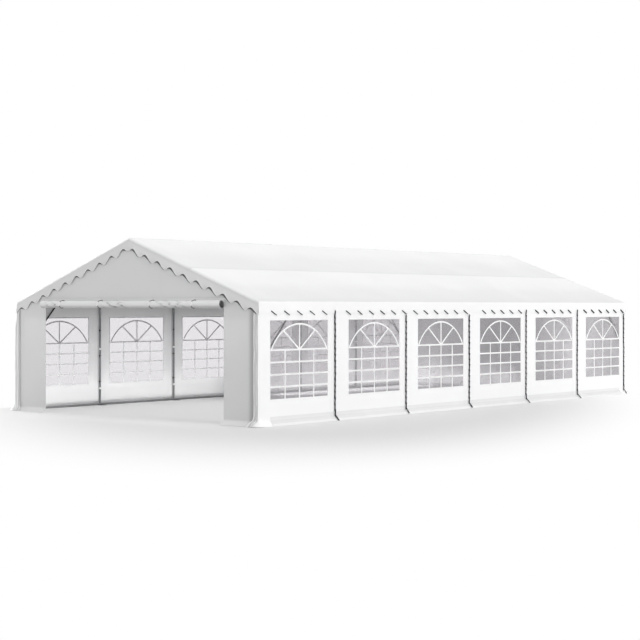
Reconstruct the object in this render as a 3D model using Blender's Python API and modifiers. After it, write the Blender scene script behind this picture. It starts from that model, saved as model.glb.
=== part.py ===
"""A party marquee of white fabric on a frame of steel tubes, open at its front gable.

Metres, +Z up, with the ground at Z = 0. X runs across the tent and Y along it, and the
open front gable faces -Y. The origin is on the ground, in the middle of the tent.
"""

import math

import bmesh
import bpy
from mathutils import Matrix, Vector

# Size of the tent over its fabric
WIDTH = 6.0
LENGTH = 12.0
BAY_COUNT = 6
SIDE_HEIGHT = 2.0
RIDGE_HEIGHT = 3.1

# Fabric, drawn thicker than the real half millimetre, and the clearance between pieces
SHEET = 0.004
CLEAR_SHEET = 0.002
GAP = 0.0003

# Steel tubes with the sleeves that join them, and the plates they stand on
TUBE_RADIUS = 0.019
TUBE_SIDES = 12
SLEEVE_RADIUS = 0.0225
SLEEVE_LENGTH = 0.20
BRACE_RADIUS = 0.0125
BRACE_FOOT_HEIGHT = 0.95
BRACE_REACH = 0.93
PLATE_SIZE = 0.14
PLATE_THICKNESS = 0.006
MIDDLE_PURLIN_X = 1.5

# Wall panels, laced together beside each leg, and the ground flap at their foot
SEAM_BESIDE_LEG = 0.10
WALL_TOP = 1.99
FLAP_HEIGHT = 0.076
FLAP_REACH = 0.094
WINDOW_WIDTH = 1.44
WINDOW_BOTTOM = 0.424
WINDOW_TOP = 1.690

# Roof cover: how far it hangs over the walls, and its scalloped edge on the gables
EAVE_DROP = 0.20
NOTCH_DEPTH = 0.148
LOBE_WIDTH = 0.304
LOBE_DEPTH = 0.088
RIDGE_LOBE_DEPTH = 0.026
FIRST_NOTCH = 0.13
NOTCHES_EACH_SIDE = 10
LOBE_FULLNESS = 0.75
SCALLOP_POINTS = 240

# Door in the gable, and the curtain rolled up over it
DOOR_WIDTH = 4.43
DOOR_SHIFT = 0.025
DOOR_TOP = 2.03
ROLL_RADIUS = 0.067
ROLL_LENGTH = 4.51
ROLL_HEIGHT = 1.955
ROLL_SIDES = 24
CURTAIN_HEM_WIDTH = 3.8
CURTAIN_HEM_TOP = 2.05

# Places worked out from these sizes
HALF_WIDTH = WIDTH / 2
HALF_LENGTH = LENGTH / 2
BAY = LENGTH / BAY_COUNT
SLOPE = math.atan((RIDGE_HEIGHT - SIDE_HEIGHT) / HALF_WIDTH)
INSIDE_X = HALF_WIDTH - SHEET - GAP
INSIDE_Y = HALF_LENGTH - SHEET - GAP
LEG_X = INSIDE_X - SLEEVE_RADIUS
PURLIN_DEPTH = SHEET + GAP + TUBE_RADIUS
RAFTER_DEPTH = PURLIN_DEPTH + TUBE_RADIUS + GAP + SLEEVE_RADIUS
RIDGE_SLEEVE_RADIUS = RAFTER_DEPTH - PURLIN_DEPTH - (TUBE_RADIUS + GAP) * math.cos(SLOPE)
END_FRAME_Y = INSIDE_Y - RIDGE_SLEEVE_RADIUS


def roof_height(x, depth=0.0):
    """Height of the roof plane at x, or of the plane that lies depth below it."""
    return RIDGE_HEIGHT - math.tan(SLOPE) * abs(x) - depth / math.cos(SLOPE)


def make_material(name, color, roughness, metallic=0.0, alpha=1.0):
    """A plain finish for one kind of piece."""
    material = bpy.data.materials.new(name)
    material.use_nodes = True
    shader = material.node_tree.nodes["Principled BSDF"]
    shader.inputs["Base Color"].default_value = (*color, 1.0)
    shader.inputs["Roughness"].default_value = roughness
    shader.inputs["Metallic"].default_value = metallic
    shader.inputs["Alpha"].default_value = alpha
    return material


def clear_scene():
    """Remove what the opened file holds."""
    for item in list(bpy.data.objects):
        bpy.data.objects.remove(item, do_unlink=True)


def make_collection(name):
    """A collection linked to the scene."""
    collection = bpy.data.collections.new(name)
    bpy.context.scene.collection.children.link(collection)
    return collection


clear_scene()
TENT = make_collection("marquee_tent")
HELPERS = make_collection("cutters")
FABRIC = make_material("white_fabric", (0.88, 0.88, 0.89), 0.5)
CLEAR = make_material("clear_film", (0.80, 0.83, 0.85), 0.12, alpha=0.35)
STEEL = make_material("galvanised_steel", (0.20, 0.21, 0.22), 0.45, metallic=0.9)


def add_piece(name, mesh, material):
    """A sub-part of the tent."""
    piece = bpy.data.objects.new(name, mesh)
    TENT.objects.link(piece)
    if not mesh.materials:
        mesh.materials.append(material)
    return piece


def add_helper(name, mesh):
    """A solid that only cuts or completes another piece."""
    helper = bpy.data.objects.new(name, mesh)
    helper.hide_render = True
    helper.display_type = "WIRE"
    HELPERS.objects.link(helper)
    return helper


def combine(piece, helper, operation):
    """Cut helper out of piece, or fuse it to piece."""
    modifier = piece.modifiers.new(helper.name, "BOOLEAN")
    modifier.operation = operation
    modifier.object = helper


def finish_mesh(name, shape, smooth=False):
    """Turn a bmesh into a mesh with its faces pointing out."""
    bmesh.ops.recalc_face_normals(shape, faces=shape.faces)
    mesh = bpy.data.meshes.new(name)
    shape.to_mesh(mesh)
    shape.free()
    if smooth:
        mesh.shade_smooth()
        mesh.set_sharp_from_angle(angle=math.radians(40))
    return mesh


def add_box(shape, centre, size):
    """Add a box to a bmesh."""
    matrix = Matrix.Translation(centre) @ Matrix.Diagonal((*size, 1.0))
    bmesh.ops.create_cube(shape, size=1.0, matrix=matrix)


def box_mesh(name, centre, size):
    """A box as a mesh of its own."""
    shape = bmesh.new()
    add_box(shape, centre, size)
    return finish_mesh(name, shape)


def add_tube(shape, stations, across, last_plane=None):
    """Add a round bar through stations, each a point and a radius, mitred where it turns.

    Two stations at one point make a step in the radius, as at the end of a sleeve. The
    path lies in the plane that across is square to. The last end is square to the bar,
    or lies in the plane whose normal is last_plane.
    """
    points = [Vector(point) for point, radius in stations]
    radii = [radius for point, radius in stations]
    across = Vector(across)
    heading = (points[1] - points[0]).normalized()
    turn = Matrix((across, heading.cross(across), heading)).transposed().to_4x4()
    ring = bmesh.ops.create_circle(
        shape,
        cap_ends=True,
        radius=radii[0],
        segments=TUBE_SIDES,
        matrix=Matrix.Translation(points[0]) @ turn,
    )
    cap = ring["verts"][0].link_faces[0]
    for index in range(1, len(points)):
        centre = points[index]
        extruded = bmesh.ops.extrude_face_region(shape, geom=[cap])["geom"]
        if index > 1:
            bmesh.ops.delete(shape, geom=[cap], context="FACES_ONLY")
        corners = [item for item in extruded if isinstance(item, bmesh.types.BMVert)]
        cap = [item for item in extruded if isinstance(item, bmesh.types.BMFace)][0]
        step = centre - points[index - 1]
        if step.length < GAP:
            growth = radii[index] / radii[index - 1]
            for corner in corners:
                corner.co = centre + (corner.co - centre) * growth
            continue
        heading = step.normalized()
        onward = heading
        for later in points[index + 1:]:
            if (later - centre).length > GAP:
                onward = (later - centre).normalized()
                break
        normal = (heading + onward).normalized()
        if index == len(points) - 1 and last_plane:
            normal = Vector(last_plane)
        for corner in corners:
            slide = (centre - corner.co).dot(normal) / heading.dot(normal)
            corner.co += heading * slide


def tube_mesh(name, stations, across):
    """A single round bar as a mesh."""
    shape = bmesh.new()
    add_tube(shape, stations, across)
    return finish_mesh(name, shape, smooth=True)


def sleeve(middle, direction, length, radius):
    """Stations of a sleeve on a straight stretch of tube."""
    reach = direction * length / 2
    return [
        (middle - reach, TUBE_RADIUS),
        (middle - reach, radius),
        (middle + reach, radius),
        (middle + reach, TUBE_RADIUS),
    ]


def frame_stations(y):
    """The bent run of tube of one frame: up a leg, over the ridge and down the other leg."""
    up_rafter = Vector((-math.cos(SLOPE), 0.0, math.sin(SLOPE)))
    knee = Vector((LEG_X, y, roof_height(LEG_X, RAFTER_DEPTH)))
    ridge = Vector((0.0, y, roof_height(0.0, RAFTER_DEPTH)))
    purlin_foot_x = MIDDLE_PURLIN_X - (RAFTER_DEPTH - PURLIN_DEPTH) * math.sin(SLOPE)
    middle = Vector((purlin_foot_x, y, roof_height(purlin_foot_x, RAFTER_DEPTH)))
    below_knee = knee - Vector((0.0, 0.0, SLEEVE_LENGTH))
    above_knee = knee + up_rafter * SLEEVE_LENGTH
    below_ridge = ridge - up_rafter * SLEEVE_LENGTH
    half = [
        (Vector((LEG_X, y, PLATE_THICKNESS / 2)), TUBE_RADIUS),
        (below_knee, TUBE_RADIUS),
        (below_knee, SLEEVE_RADIUS),
        (knee, SLEEVE_RADIUS),
        (above_knee, SLEEVE_RADIUS),
        (above_knee, TUBE_RADIUS),
        *sleeve(middle, up_rafter, SLEEVE_LENGTH, SLEEVE_RADIUS),
        (below_ridge, TUBE_RADIUS),
        (below_ridge, RIDGE_SLEEVE_RADIUS),
    ]
    other_half = [(Vector((-point.x, point.y, point.z)), radius) for point, radius in reversed(half)]
    return half + [(ridge, RIDGE_SLEEVE_RADIUS)] + other_half


def make_frame(number, y):
    """One frame of the skeleton on its two plates. The end frames carry the corner braces."""
    toward_middle = 0 if abs(y) < END_FRAME_Y else -math.copysign(1, y)
    plate_y = y + toward_middle * (PLATE_SIZE / 2 - SLEEVE_RADIUS)
    plate_x = INSIDE_X - PLATE_SIZE / 2
    shape = bmesh.new()
    add_tube(shape, frame_stations(y), (0.0, 1.0, 0.0))
    frame = add_piece(f"frame_{number}", finish_mesh(f"frame_{number}", shape, smooth=True), STEEL)
    extras = bmesh.new()
    for side in (-1, 1):
        add_box(
            extras,
            (side * plate_x, plate_y, PLATE_THICKNESS / 2),
            (PLATE_SIZE, PLATE_SIZE, PLATE_THICKNESS),
        )
        if toward_middle:
            purlin_bottom = roof_height(INSIDE_X - TUBE_RADIUS, PURLIN_DEPTH) - TUBE_RADIUS
            top_y = math.copysign(HALF_LENGTH - BRACE_REACH, y)
            brace = [
                ((side * LEG_X, y, BRACE_FOOT_HEIGHT), BRACE_RADIUS),
                ((side * LEG_X, top_y, purlin_bottom - GAP), BRACE_RADIUS),
            ]
            add_tube(extras, brace, (1.0, 0.0, 0.0), last_plane=(0.0, 0.0, 1.0))
    name = f"plates_and_braces_{number}"
    combine(frame, add_helper(name, finish_mesh(name, extras)), "UNION")


def make_frames():
    """The row of frames, one at each end and one between each two bays."""
    for index in range(BAY_COUNT + 1):
        y = index * BAY - HALF_LENGTH
        y = max(-END_FRAME_Y, min(END_FRAME_Y, y))
        make_frame(index + 1, y)


def make_long_tube(name, x, z, tilt=0.0):
    """A straight tube from gable to gable, with a corner of its section tilted from upright."""
    across = (math.cos(tilt), 0.0, -math.sin(tilt))
    ends = [((x, -INSIDE_Y, z), TUBE_RADIUS), ((x, INSIDE_Y, z), TUBE_RADIUS)]
    add_piece(name, tube_mesh(name, ends, across), STEEL)


def make_purlins_and_rails():
    """The long tubes on top of the rafters, and the ground rails inside the legs."""
    make_long_tube("ridge_purlin", 0.0, roof_height(0.0, PURLIN_DEPTH))
    eave_x = INSIDE_X - TUBE_RADIUS
    rail_x = LEG_X - 2 * TUBE_RADIUS - GAP
    rail_z = PLATE_THICKNESS + GAP + TUBE_RADIUS
    for side, sign in (("right", 1), ("left", -1)):
        for place, x in (("middle", MIDDLE_PURLIN_X), ("eave", eave_x)):
            make_long_tube(f"{side}_{place}_purlin", sign * x, roof_height(x, PURLIN_DEPTH), sign * SLOPE)
        make_long_tube(f"{side}_ground_rail", sign * rail_x, rail_z)


def give_thickness(piece):
    """Thicken a sheet inward from its outer face."""
    modifier = piece.modifiers.new("fabric thickness", "SOLIDIFY")
    modifier.thickness = SHEET
    modifier.offset = -1.0
    modifier.use_even_offset = True


def add_ground_flap(shape, outward):
    """Fold the foot of a sheet out from its bottom edges down to the ground."""
    lean = math.atan2(FLAP_REACH, FLAP_HEIGHT)
    hem_height = SHEET * math.sin(lean) + GAP
    fold = FLAP_HEIGHT - hem_height
    bottom = [
        edge for edge in shape.edges
        if all(abs(corner.co.z - FLAP_HEIGHT) < GAP for corner in edge.verts)
    ]
    extruded = bmesh.ops.extrude_edge_only(shape, edges=bottom)["geom"]
    corners = [item for item in extruded if isinstance(item, bmesh.types.BMVert)]
    move = Vector(outward) * fold * math.tan(lean) - Vector((0.0, 0.0, fold))
    bmesh.ops.translate(shape, verts=corners, vec=move)


def sheet_mesh(name, shape, outward):
    """Turn an open sheet into a mesh whose faces look outward."""
    bmesh.ops.recalc_face_normals(shape, faces=shape.faces)
    facing = sum(face.normal.dot(Vector(outward)) * face.calc_area() for face in shape.faces)
    if facing < 0:
        bmesh.ops.reverse_faces(shape, faces=shape.faces)
    mesh = bpy.data.meshes.new(name)
    shape.to_mesh(mesh)
    shape.free()
    return mesh


def make_wall_panel(side, turn, number, start_y, end_y, window_y):
    """One wall panel, hanging from the eave to its ground flap, with its window."""
    height = WALL_TOP - FLAP_HEIGHT
    width = end_y - start_y
    place = Matrix.Translation((HALF_WIDTH, (start_y + end_y) / 2, FLAP_HEIGHT + height / 2))
    upright = Matrix.Rotation(math.pi / 2, 4, "Y")
    shape = bmesh.new()
    size = Matrix.Diagonal((height / 2, width / 2, 1.0, 1.0))
    bmesh.ops.create_grid(shape, x_segments=1, y_segments=1, size=1.0, matrix=place @ upright @ size)
    add_ground_flap(shape, (1.0, 0.0, 0.0))
    name = f"{side}_wall_{number}"
    panel = add_piece(name, sheet_mesh(name, shape, (1.0, 0.0, 0.0)), FABRIC)
    panel.rotation_euler.z = turn
    give_thickness(panel)

    window_height = WINDOW_TOP - WINDOW_BOTTOM
    centre = (HALF_WIDTH - SHEET / 2, window_y, WINDOW_BOTTOM + window_height / 2)
    hole_name = f"{side}_window_hole_{number}"
    hole = add_helper(hole_name, box_mesh(hole_name, centre, (8 * SHEET, WINDOW_WIDTH, window_height)))
    hole.rotation_euler.z = turn
    combine(panel, hole, "DIFFERENCE")

    pane_name = f"{side}_window_{number}"
    pane_size = (CLEAR_SHEET, WINDOW_WIDTH - 2 * GAP, window_height - 2 * GAP)
    pane = add_piece(pane_name, box_mesh(pane_name, centre, pane_size), CLEAR)
    pane.rotation_euler.z = turn


def make_walls():
    """Both long walls. The left one is the right one turned about the middle of the tent."""
    for index in range(BAY_COUNT):
        bay_start = index * BAY - HALF_LENGTH
        start_y = bay_start - SEAM_BESIDE_LEG + GAP if index else -HALF_LENGTH
        end_y = bay_start + BAY - SEAM_BESIDE_LEG
        if index == BAY_COUNT - 1:
            end_y = HALF_LENGTH
        window_y = bay_start + BAY / 2
        make_wall_panel("right", 0.0, index + 1, start_y, end_y, window_y)
        make_wall_panel("left", math.pi, BAY_COUNT - index, start_y, end_y, window_y)


def make_roof_cover():
    """The roof sheet, from the bottom of one eave drop over the ridge to the other."""
    outside_x = HALF_WIDTH + GAP + SHEET
    outside_y = HALF_LENGTH + GAP + SHEET
    drop_bottom = SIDE_HEIGHT - EAVE_DROP
    profile = [
        (-outside_x, drop_bottom),
        (-outside_x, roof_height(outside_x)),
        (0.0, RIDGE_HEIGHT),
        (outside_x, roof_height(outside_x)),
        (outside_x, drop_bottom),
    ]
    shape = bmesh.new()
    corners = [shape.verts.new((x, -outside_y, z)) for x, z in profile]
    edges = [shape.edges.new(pair) for pair in zip(corners, corners[1:])]
    extruded = bmesh.ops.extrude_edge_only(shape, edges=edges)["geom"]
    far_corners = [item for item in extruded if isinstance(item, bmesh.types.BMVert)]
    bmesh.ops.translate(shape, verts=far_corners, vec=(0.0, 2 * outside_y, 0.0))
    cover = add_piece("roof_cover", sheet_mesh("roof_cover", shape, (0.0, 0.0, 1.0)), FABRIC)
    give_thickness(cover)


def outline_mesh(name, outline):
    """Fill a closed outline of points (x, z) as a flat mesh in the plane of a gable."""
    curve = bpy.data.curves.new(name, "CURVE")
    curve.dimensions = "2D"
    curve.fill_mode = "BOTH"
    line = curve.splines.new("POLY")
    line.points.add(len(outline) - 1)
    for point, (x, z) in zip(line.points, outline):
        point.co = (x, z, 0.0, 1.0)
    line.use_cyclic_u = True
    drawing = bpy.data.objects.new(name, curve)
    TENT.objects.link(drawing)
    bpy.context.view_layer.update()
    evaluated = drawing.evaluated_get(bpy.context.evaluated_depsgraph_get())
    mesh = bpy.data.meshes.new_from_object(evaluated)
    bpy.data.objects.remove(drawing)
    bpy.data.curves.remove(curve)
    mesh.transform(Matrix.Rotation(math.pi / 2, 4, "X"))
    return mesh


def scallop_depth(x):
    """How far the wavy lower edge of the valance lies below the roof plane at x."""
    along = abs(x)
    start = -FIRST_NOTCH
    width = 2 * FIRST_NOTCH
    depth = RIDGE_LOBE_DEPTH
    if along > FIRST_NOTCH:
        number = int((along - FIRST_NOTCH) / LOBE_WIDTH)
        start = FIRST_NOTCH + number * LOBE_WIDTH
        width = LOBE_WIDTH
        depth = LOBE_DEPTH if number < NOTCHES_EACH_SIDE - 1 else EAVE_DROP - NOTCH_DEPTH
    swing = (1 - math.cos(2 * math.pi * (along - start) / width)) / 2
    return NOTCH_DEPTH + depth * swing ** LOBE_FULLNESS


def valance_outline():
    """The scalloped strip along both rakes: over the top, then back along the lobes."""
    below_roof = SHEET + GAP
    outline = [
        (HALF_WIDTH, roof_height(HALF_WIDTH, below_roof)),
        (0.0, roof_height(0.0, below_roof)),
        (-HALF_WIDTH, roof_height(HALF_WIDTH, below_roof)),
    ]
    for step in range(SCALLOP_POINTS + 1):
        x = WIDTH * step / SCALLOP_POINTS - HALF_WIDTH
        outline.append((x, roof_height(x) - scallop_depth(x)))
    return outline


def gable_outline():
    """The gable sheet: the triangle under the roof with the two strips beside the door."""
    edge_x = INSIDE_X
    below_roof = SHEET + GAP
    door_left = DOOR_SHIFT - DOOR_WIDTH / 2
    door_right = DOOR_SHIFT + DOOR_WIDTH / 2
    return [
        (edge_x, roof_height(edge_x, below_roof)),
        (0.0, roof_height(0.0, below_roof)),
        (-edge_x, roof_height(edge_x, below_roof)),
        (-edge_x, FLAP_HEIGHT),
        (door_left, FLAP_HEIGHT),
        (door_left, DOOR_TOP),
        (door_right, DOOR_TOP),
        (door_right, FLAP_HEIGHT),
        (edge_x, FLAP_HEIGHT),
    ]


def make_gables():
    """The front gable sheet and scalloped valance, and the same two turned for the back."""
    for end, turn in (("front", 0.0), ("back", math.pi)):
        shape = bmesh.new()
        shape.from_mesh(outline_mesh(f"{end}_gable_outline", gable_outline()))
        bmesh.ops.remove_doubles(shape, verts=shape.verts, dist=GAP)
        bmesh.ops.translate(shape, verts=shape.verts, vec=(0.0, -HALF_LENGTH, 0.0))
        add_ground_flap(shape, (0.0, -1.0, 0.0))
        name = f"{end}_gable"
        gable = add_piece(name, sheet_mesh(name, shape, (0.0, -1.0, 0.0)), FABRIC)
        gable.rotation_euler.z = turn
        give_thickness(gable)

        shape = bmesh.new()
        shape.from_mesh(outline_mesh(f"{end}_valance_outline", valance_outline()))
        bmesh.ops.remove_doubles(shape, verts=shape.verts, dist=GAP)
        in_front = -HALF_LENGTH - GAP - SHEET
        bmesh.ops.translate(shape, verts=shape.verts, vec=(0.0, in_front, 0.0))
        name = f"{end}_valance"
        valance = add_piece(name, sheet_mesh(name, shape, (0.0, -1.0, 0.0)), FABRIC)
        valance.rotation_euler.z = turn
        give_thickness(valance)


def make_front_door_roll():
    """The door curtain rolled up, hanging by its top hem from the front gable."""
    roll_y = -HALF_LENGTH - GAP - ROLL_RADIUS
    along_x = Matrix.Rotation(math.pi / 2, 4, "Y")
    shape = bmesh.new()
    bmesh.ops.create_cone(
        shape,
        cap_ends=True,
        segments=ROLL_SIDES,
        radius1=ROLL_RADIUS,
        radius2=ROLL_RADIUS,
        depth=ROLL_LENGTH,
        matrix=Matrix.Translation((0.0, roll_y, ROLL_HEIGHT)) @ along_x,
    )
    roll = add_piece("front_door_roll", finish_mesh("front_door_roll", shape, smooth=True), FABRIC)
    hem_height = CURTAIN_HEM_TOP - ROLL_HEIGHT
    hem = box_mesh(
        "door_hem",
        (0.0, -HALF_LENGTH - GAP - SHEET / 2, ROLL_HEIGHT + hem_height / 2),
        (CURTAIN_HEM_WIDTH, SHEET, hem_height),
    )
    combine(roll, add_helper("door_hem", hem), "UNION")


def make_back_door():
    """The door curtain of the back gable, let down and closed between the two strips."""
    height = DOOR_TOP - GAP - FLAP_HEIGHT
    width = DOOR_WIDTH - 2 * GAP
    place = Matrix.Translation((DOOR_SHIFT, -HALF_LENGTH, FLAP_HEIGHT + height / 2))
    upright = Matrix.Rotation(math.pi / 2, 4, "X")
    size = Matrix.Diagonal((width / 2, height / 2, 1.0, 1.0))
    shape = bmesh.new()
    bmesh.ops.create_grid(shape, x_segments=1, y_segments=1, size=1.0, matrix=place @ upright @ size)
    add_ground_flap(shape, (0.0, -1.0, 0.0))
    door = add_piece("back_door", sheet_mesh("back_door", shape, (0.0, -1.0, 0.0)), FABRIC)
    door.rotation_euler.z = math.pi
    give_thickness(door)


make_frames()
make_purlins_and_rails()
make_walls()
make_gables()
make_front_door_roll()
make_back_door()
make_roof_cover()
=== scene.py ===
# The looks of a white party marquee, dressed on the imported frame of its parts.
# Metres, +Z up, ground at Z = 0. X runs across the tent and Y along it, and the open
# gable faces -Y. The sections follow the tent in the order in which it is put up.
import math

import bpy
from mathutils import Matrix, Vector, noise


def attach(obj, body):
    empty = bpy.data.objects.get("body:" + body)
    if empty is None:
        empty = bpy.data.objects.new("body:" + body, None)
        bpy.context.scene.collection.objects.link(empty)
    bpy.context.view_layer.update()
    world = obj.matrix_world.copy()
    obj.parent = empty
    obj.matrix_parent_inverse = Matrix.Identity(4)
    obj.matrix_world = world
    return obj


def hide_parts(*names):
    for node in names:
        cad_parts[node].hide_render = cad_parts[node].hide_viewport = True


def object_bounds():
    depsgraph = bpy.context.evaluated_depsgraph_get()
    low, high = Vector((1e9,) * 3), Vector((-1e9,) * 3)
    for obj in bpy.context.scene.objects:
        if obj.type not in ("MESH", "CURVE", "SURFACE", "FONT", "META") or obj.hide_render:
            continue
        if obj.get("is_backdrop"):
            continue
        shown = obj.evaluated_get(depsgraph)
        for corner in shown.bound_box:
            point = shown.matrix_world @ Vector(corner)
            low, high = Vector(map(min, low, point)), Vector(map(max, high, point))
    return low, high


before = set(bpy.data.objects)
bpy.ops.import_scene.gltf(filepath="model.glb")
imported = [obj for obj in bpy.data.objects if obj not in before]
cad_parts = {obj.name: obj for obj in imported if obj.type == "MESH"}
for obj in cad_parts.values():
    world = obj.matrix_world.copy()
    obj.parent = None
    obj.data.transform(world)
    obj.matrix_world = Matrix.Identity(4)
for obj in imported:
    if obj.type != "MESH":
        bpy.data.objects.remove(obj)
cad_low, cad_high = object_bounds()


# The studio. The floor is a pale sheet that fades into a glowing white away from the tent:
# painted light, which keeps the floor's shade close round the tent. Wide soft suns light
# the tent from outside, soft lamps light it from within, and the surround is even and
# white. The camera stands at eye height, off the front right corner.
FLOOR_SIZE = 160.0
FLOOR_TONE = 0.77
FADE_CENTRE = (-5.745, 5.635)
FADE_TURN = 38.3
FADE_HALF_WIDTHS = (3.11, 9.0)
FADE_FROM = 1.72
FADE_TO = 2.44
BEHIND_FADE = 0.9
SURROUND_STRENGTH = 0.492
SUN_WIDTH = 28.0
SUNS = {
    "key_light": ((1.0, -0.05, 0.30), 1.09),
    "top_light": ((0.15, 0.0, 1.0), 1.01),
    "left_light": ((-1.0, 0.3, 0.18), 1.56),
}
LAMPS = {
    "inside_light": ((0.0, -3.6, 1.70), (0.0, 0.0), (5.6, 5.2), 39.3, 80.0),
    "left_wall_light": ((-2.45, 0.0, 0.30), (0.0, 180.0), (0.9, 11.8), 19.2, 180.0),
    "near_foot_light": ((-2.65, -3.2, 0.22), (0.0, 90.0), (0.1, 5.4), 2.9, 140.0),
    "far_floor_light": ((-2.4, 3.3, 0.50), (0.0, 10.0), (0.5, 5.2), 14.0, 110.0),
    "far_foot_light": ((-2.5, 3.0, 0.20), (0.0, 80.0), (0.1, 5.6), 3.6, 130.0),
    "back_foot_light": ((-1.3, 5.65, 0.22), (90.0, 0.0), (3.2, 0.1), 4.1, 140.0),
    "back_light": ((0.0, 3.2, 1.0), (90.0, 0.0), (5.0, 1.8), 7.0, 180.0),
    "curtain_light": ((1.75, 4.9, 1.0), (90.0, 0.0), (0.8, 1.8), 10.0, 140.0),
}
CAMERA_PLACE = (18.992, -23.624, 1.918)
CAMERA_TURN = 39.874
CAMERA_LENS = 84.32
CAMERA_SHIFT = -0.0213


def add_node(tree, kind, inputs=None, **settings):
    """Add a node, with its settings, and its inputs linked or set."""
    node = tree.nodes.new(kind)
    for setting, value in settings.items():
        setattr(node, setting, value)
    for socket, value in (inputs or {}).items():
        if isinstance(value, bpy.types.NodeSocket):
            tree.links.new(value, node.inputs[socket])
        else:
            node.inputs[socket].default_value = value
    return node


def reckon(tree, operation, first, second=0.0):
    """The result of one sum on two values."""
    return add_node(tree, "ShaderNodeMath", {0: first, 1: second}, operation=operation).outputs[0]


def blank_material(name):
    """A material with its tree emptied but for the output."""
    material = bpy.data.materials.new(name)
    material.use_nodes = True
    material.node_tree.nodes.remove(material.node_tree.nodes["Principled BSDF"])
    return material


def dress(piece, material):
    """Give a piece its one material."""
    piece.data.materials.clear()
    piece.data.materials.append(material)


bpy.ops.object.select_all(action="DESELECT")
bpy.ops.mesh.primitive_plane_add(size=FLOOR_SIZE, location=(0.0, 0.0, 0.0))
floor = bpy.context.object
floor.name = "studio_floor"
floor_material = blank_material("studio_floor")
tree = floor_material.node_tree
place = add_node(tree, "ShaderNodeTexCoord").outputs["Object"]
turned = add_node(
    tree,
    "ShaderNodeMapping",
    {
        "Vector": place,
        "Location": (*FADE_CENTRE, 0.0),
        "Rotation": (0.0, 0.0, math.radians(FADE_TURN)),
        "Scale": (*FADE_HALF_WIDTHS, 1.0),
    },
    vector_type="TEXTURE",
)
from_centre = add_node(tree, "ShaderNodeVectorMath", {0: turned.outputs[0]}, operation="LENGTH")
front_fade = add_node(
    tree,
    "ShaderNodeMapRange",
    {"Value": from_centre.outputs["Value"], "From Min": FADE_FROM, "From Max": FADE_TO},
    interpolation_type="SMOOTHSTEP",
)
parts = add_node(tree, "ShaderNodeSeparateXYZ", {0: place})
beyond_left = reckon(tree, "SUBTRACT", cad_low.x, parts.outputs["X"])
beyond_back = reckon(tree, "SUBTRACT", parts.outputs["Y"], cad_high.y)
behind_fade = add_node(
    tree,
    "ShaderNodeMapRange",
    {"Value": reckon(tree, "MAXIMUM", beyond_left, beyond_back), "From Min": 0.0, "From Max": BEHIND_FADE},
    interpolation_type="SMOOTHSTEP",
)
fade = reckon(tree, "MAXIMUM", front_fade.outputs["Result"], behind_fade.outputs["Result"])
pale = add_node(tree, "ShaderNodeBsdfDiffuse", {"Color": (FLOOR_TONE, FLOOR_TONE, FLOOR_TONE, 1.0)})
# Painted light: where the fade is full the floor glows white, though it is no lamp.
white = add_node(tree, "ShaderNodeEmission", {"Color": (1.0, 1.0, 1.0, 1.0), "Strength": 1.0})
floor_shader = add_node(
    tree,
    "ShaderNodeMixShader",
    {0: fade, 1: pale.outputs[0], 2: white.outputs[0]},
)
tree.links.new(floor_shader.outputs[0], tree.nodes["Material Output"].inputs["Surface"])
dress(floor, floor_material)
floor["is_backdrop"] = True

for name, (direction, strength) in SUNS.items():
    bpy.ops.object.light_add(type="SUN", location=Vector(direction) * 12.0)
    light = bpy.context.object
    light.name = name
    light.rotation_euler = Vector(direction).to_track_quat("Z", "Y").to_euler()
    light.data.energy = strength
    light.data.angle = math.radians(SUN_WIDTH)

for name, (place, tilts, size, power, spread) in LAMPS.items():
    tilts = [math.radians(tilt) for tilt in tilts]
    bpy.ops.object.light_add(type="AREA", location=place, rotation=(*tilts, 0.0))
    light = bpy.context.object
    light.name = name
    light.data.shape = "RECTANGLE"
    light.data.size = size[0]
    light.data.size_y = size[1]
    light.data.energy = power
    light.data.spread = math.radians(spread)
    light.visible_camera = False
    light.visible_glossy = False

surround = bpy.data.worlds.new("surround")
surround.use_nodes = True
tree = surround.node_tree
seen = tree.nodes["Background"]
seen.inputs["Color"].default_value = (1.0, 1.0, 1.0, 1.0)
seen.inputs["Strength"].default_value = 1.0
lighting = add_node(tree, "ShaderNodeBackground", {"Color": (1.0, 1.0, 1.0, 1.0), "Strength": SURROUND_STRENGTH})
path = add_node(tree, "ShaderNodeLightPath")
straight = reckon(tree, "MAXIMUM", path.outputs["Is Camera Ray"], path.outputs["Is Glossy Ray"])
surround_shader = add_node(tree, "ShaderNodeMixShader", {0: straight, 1: lighting.outputs[0], 2: seen.outputs[0]})
tree.links.new(surround_shader.outputs[0], tree.nodes["World Output"].inputs["Surface"])
bpy.context.scene.world = surround
bpy.context.scene.view_settings.view_transform = "Standard"

bpy.ops.object.camera_add(location=CAMERA_PLACE, rotation=(math.pi / 2, 0.0, math.radians(CAMERA_TURN)))
camera = bpy.context.object
camera.data.lens = CAMERA_LENS
camera.data.shift_y = CAMERA_SHIFT
camera.data.clip_end = 400.0
bpy.context.scene.camera = camera


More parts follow.
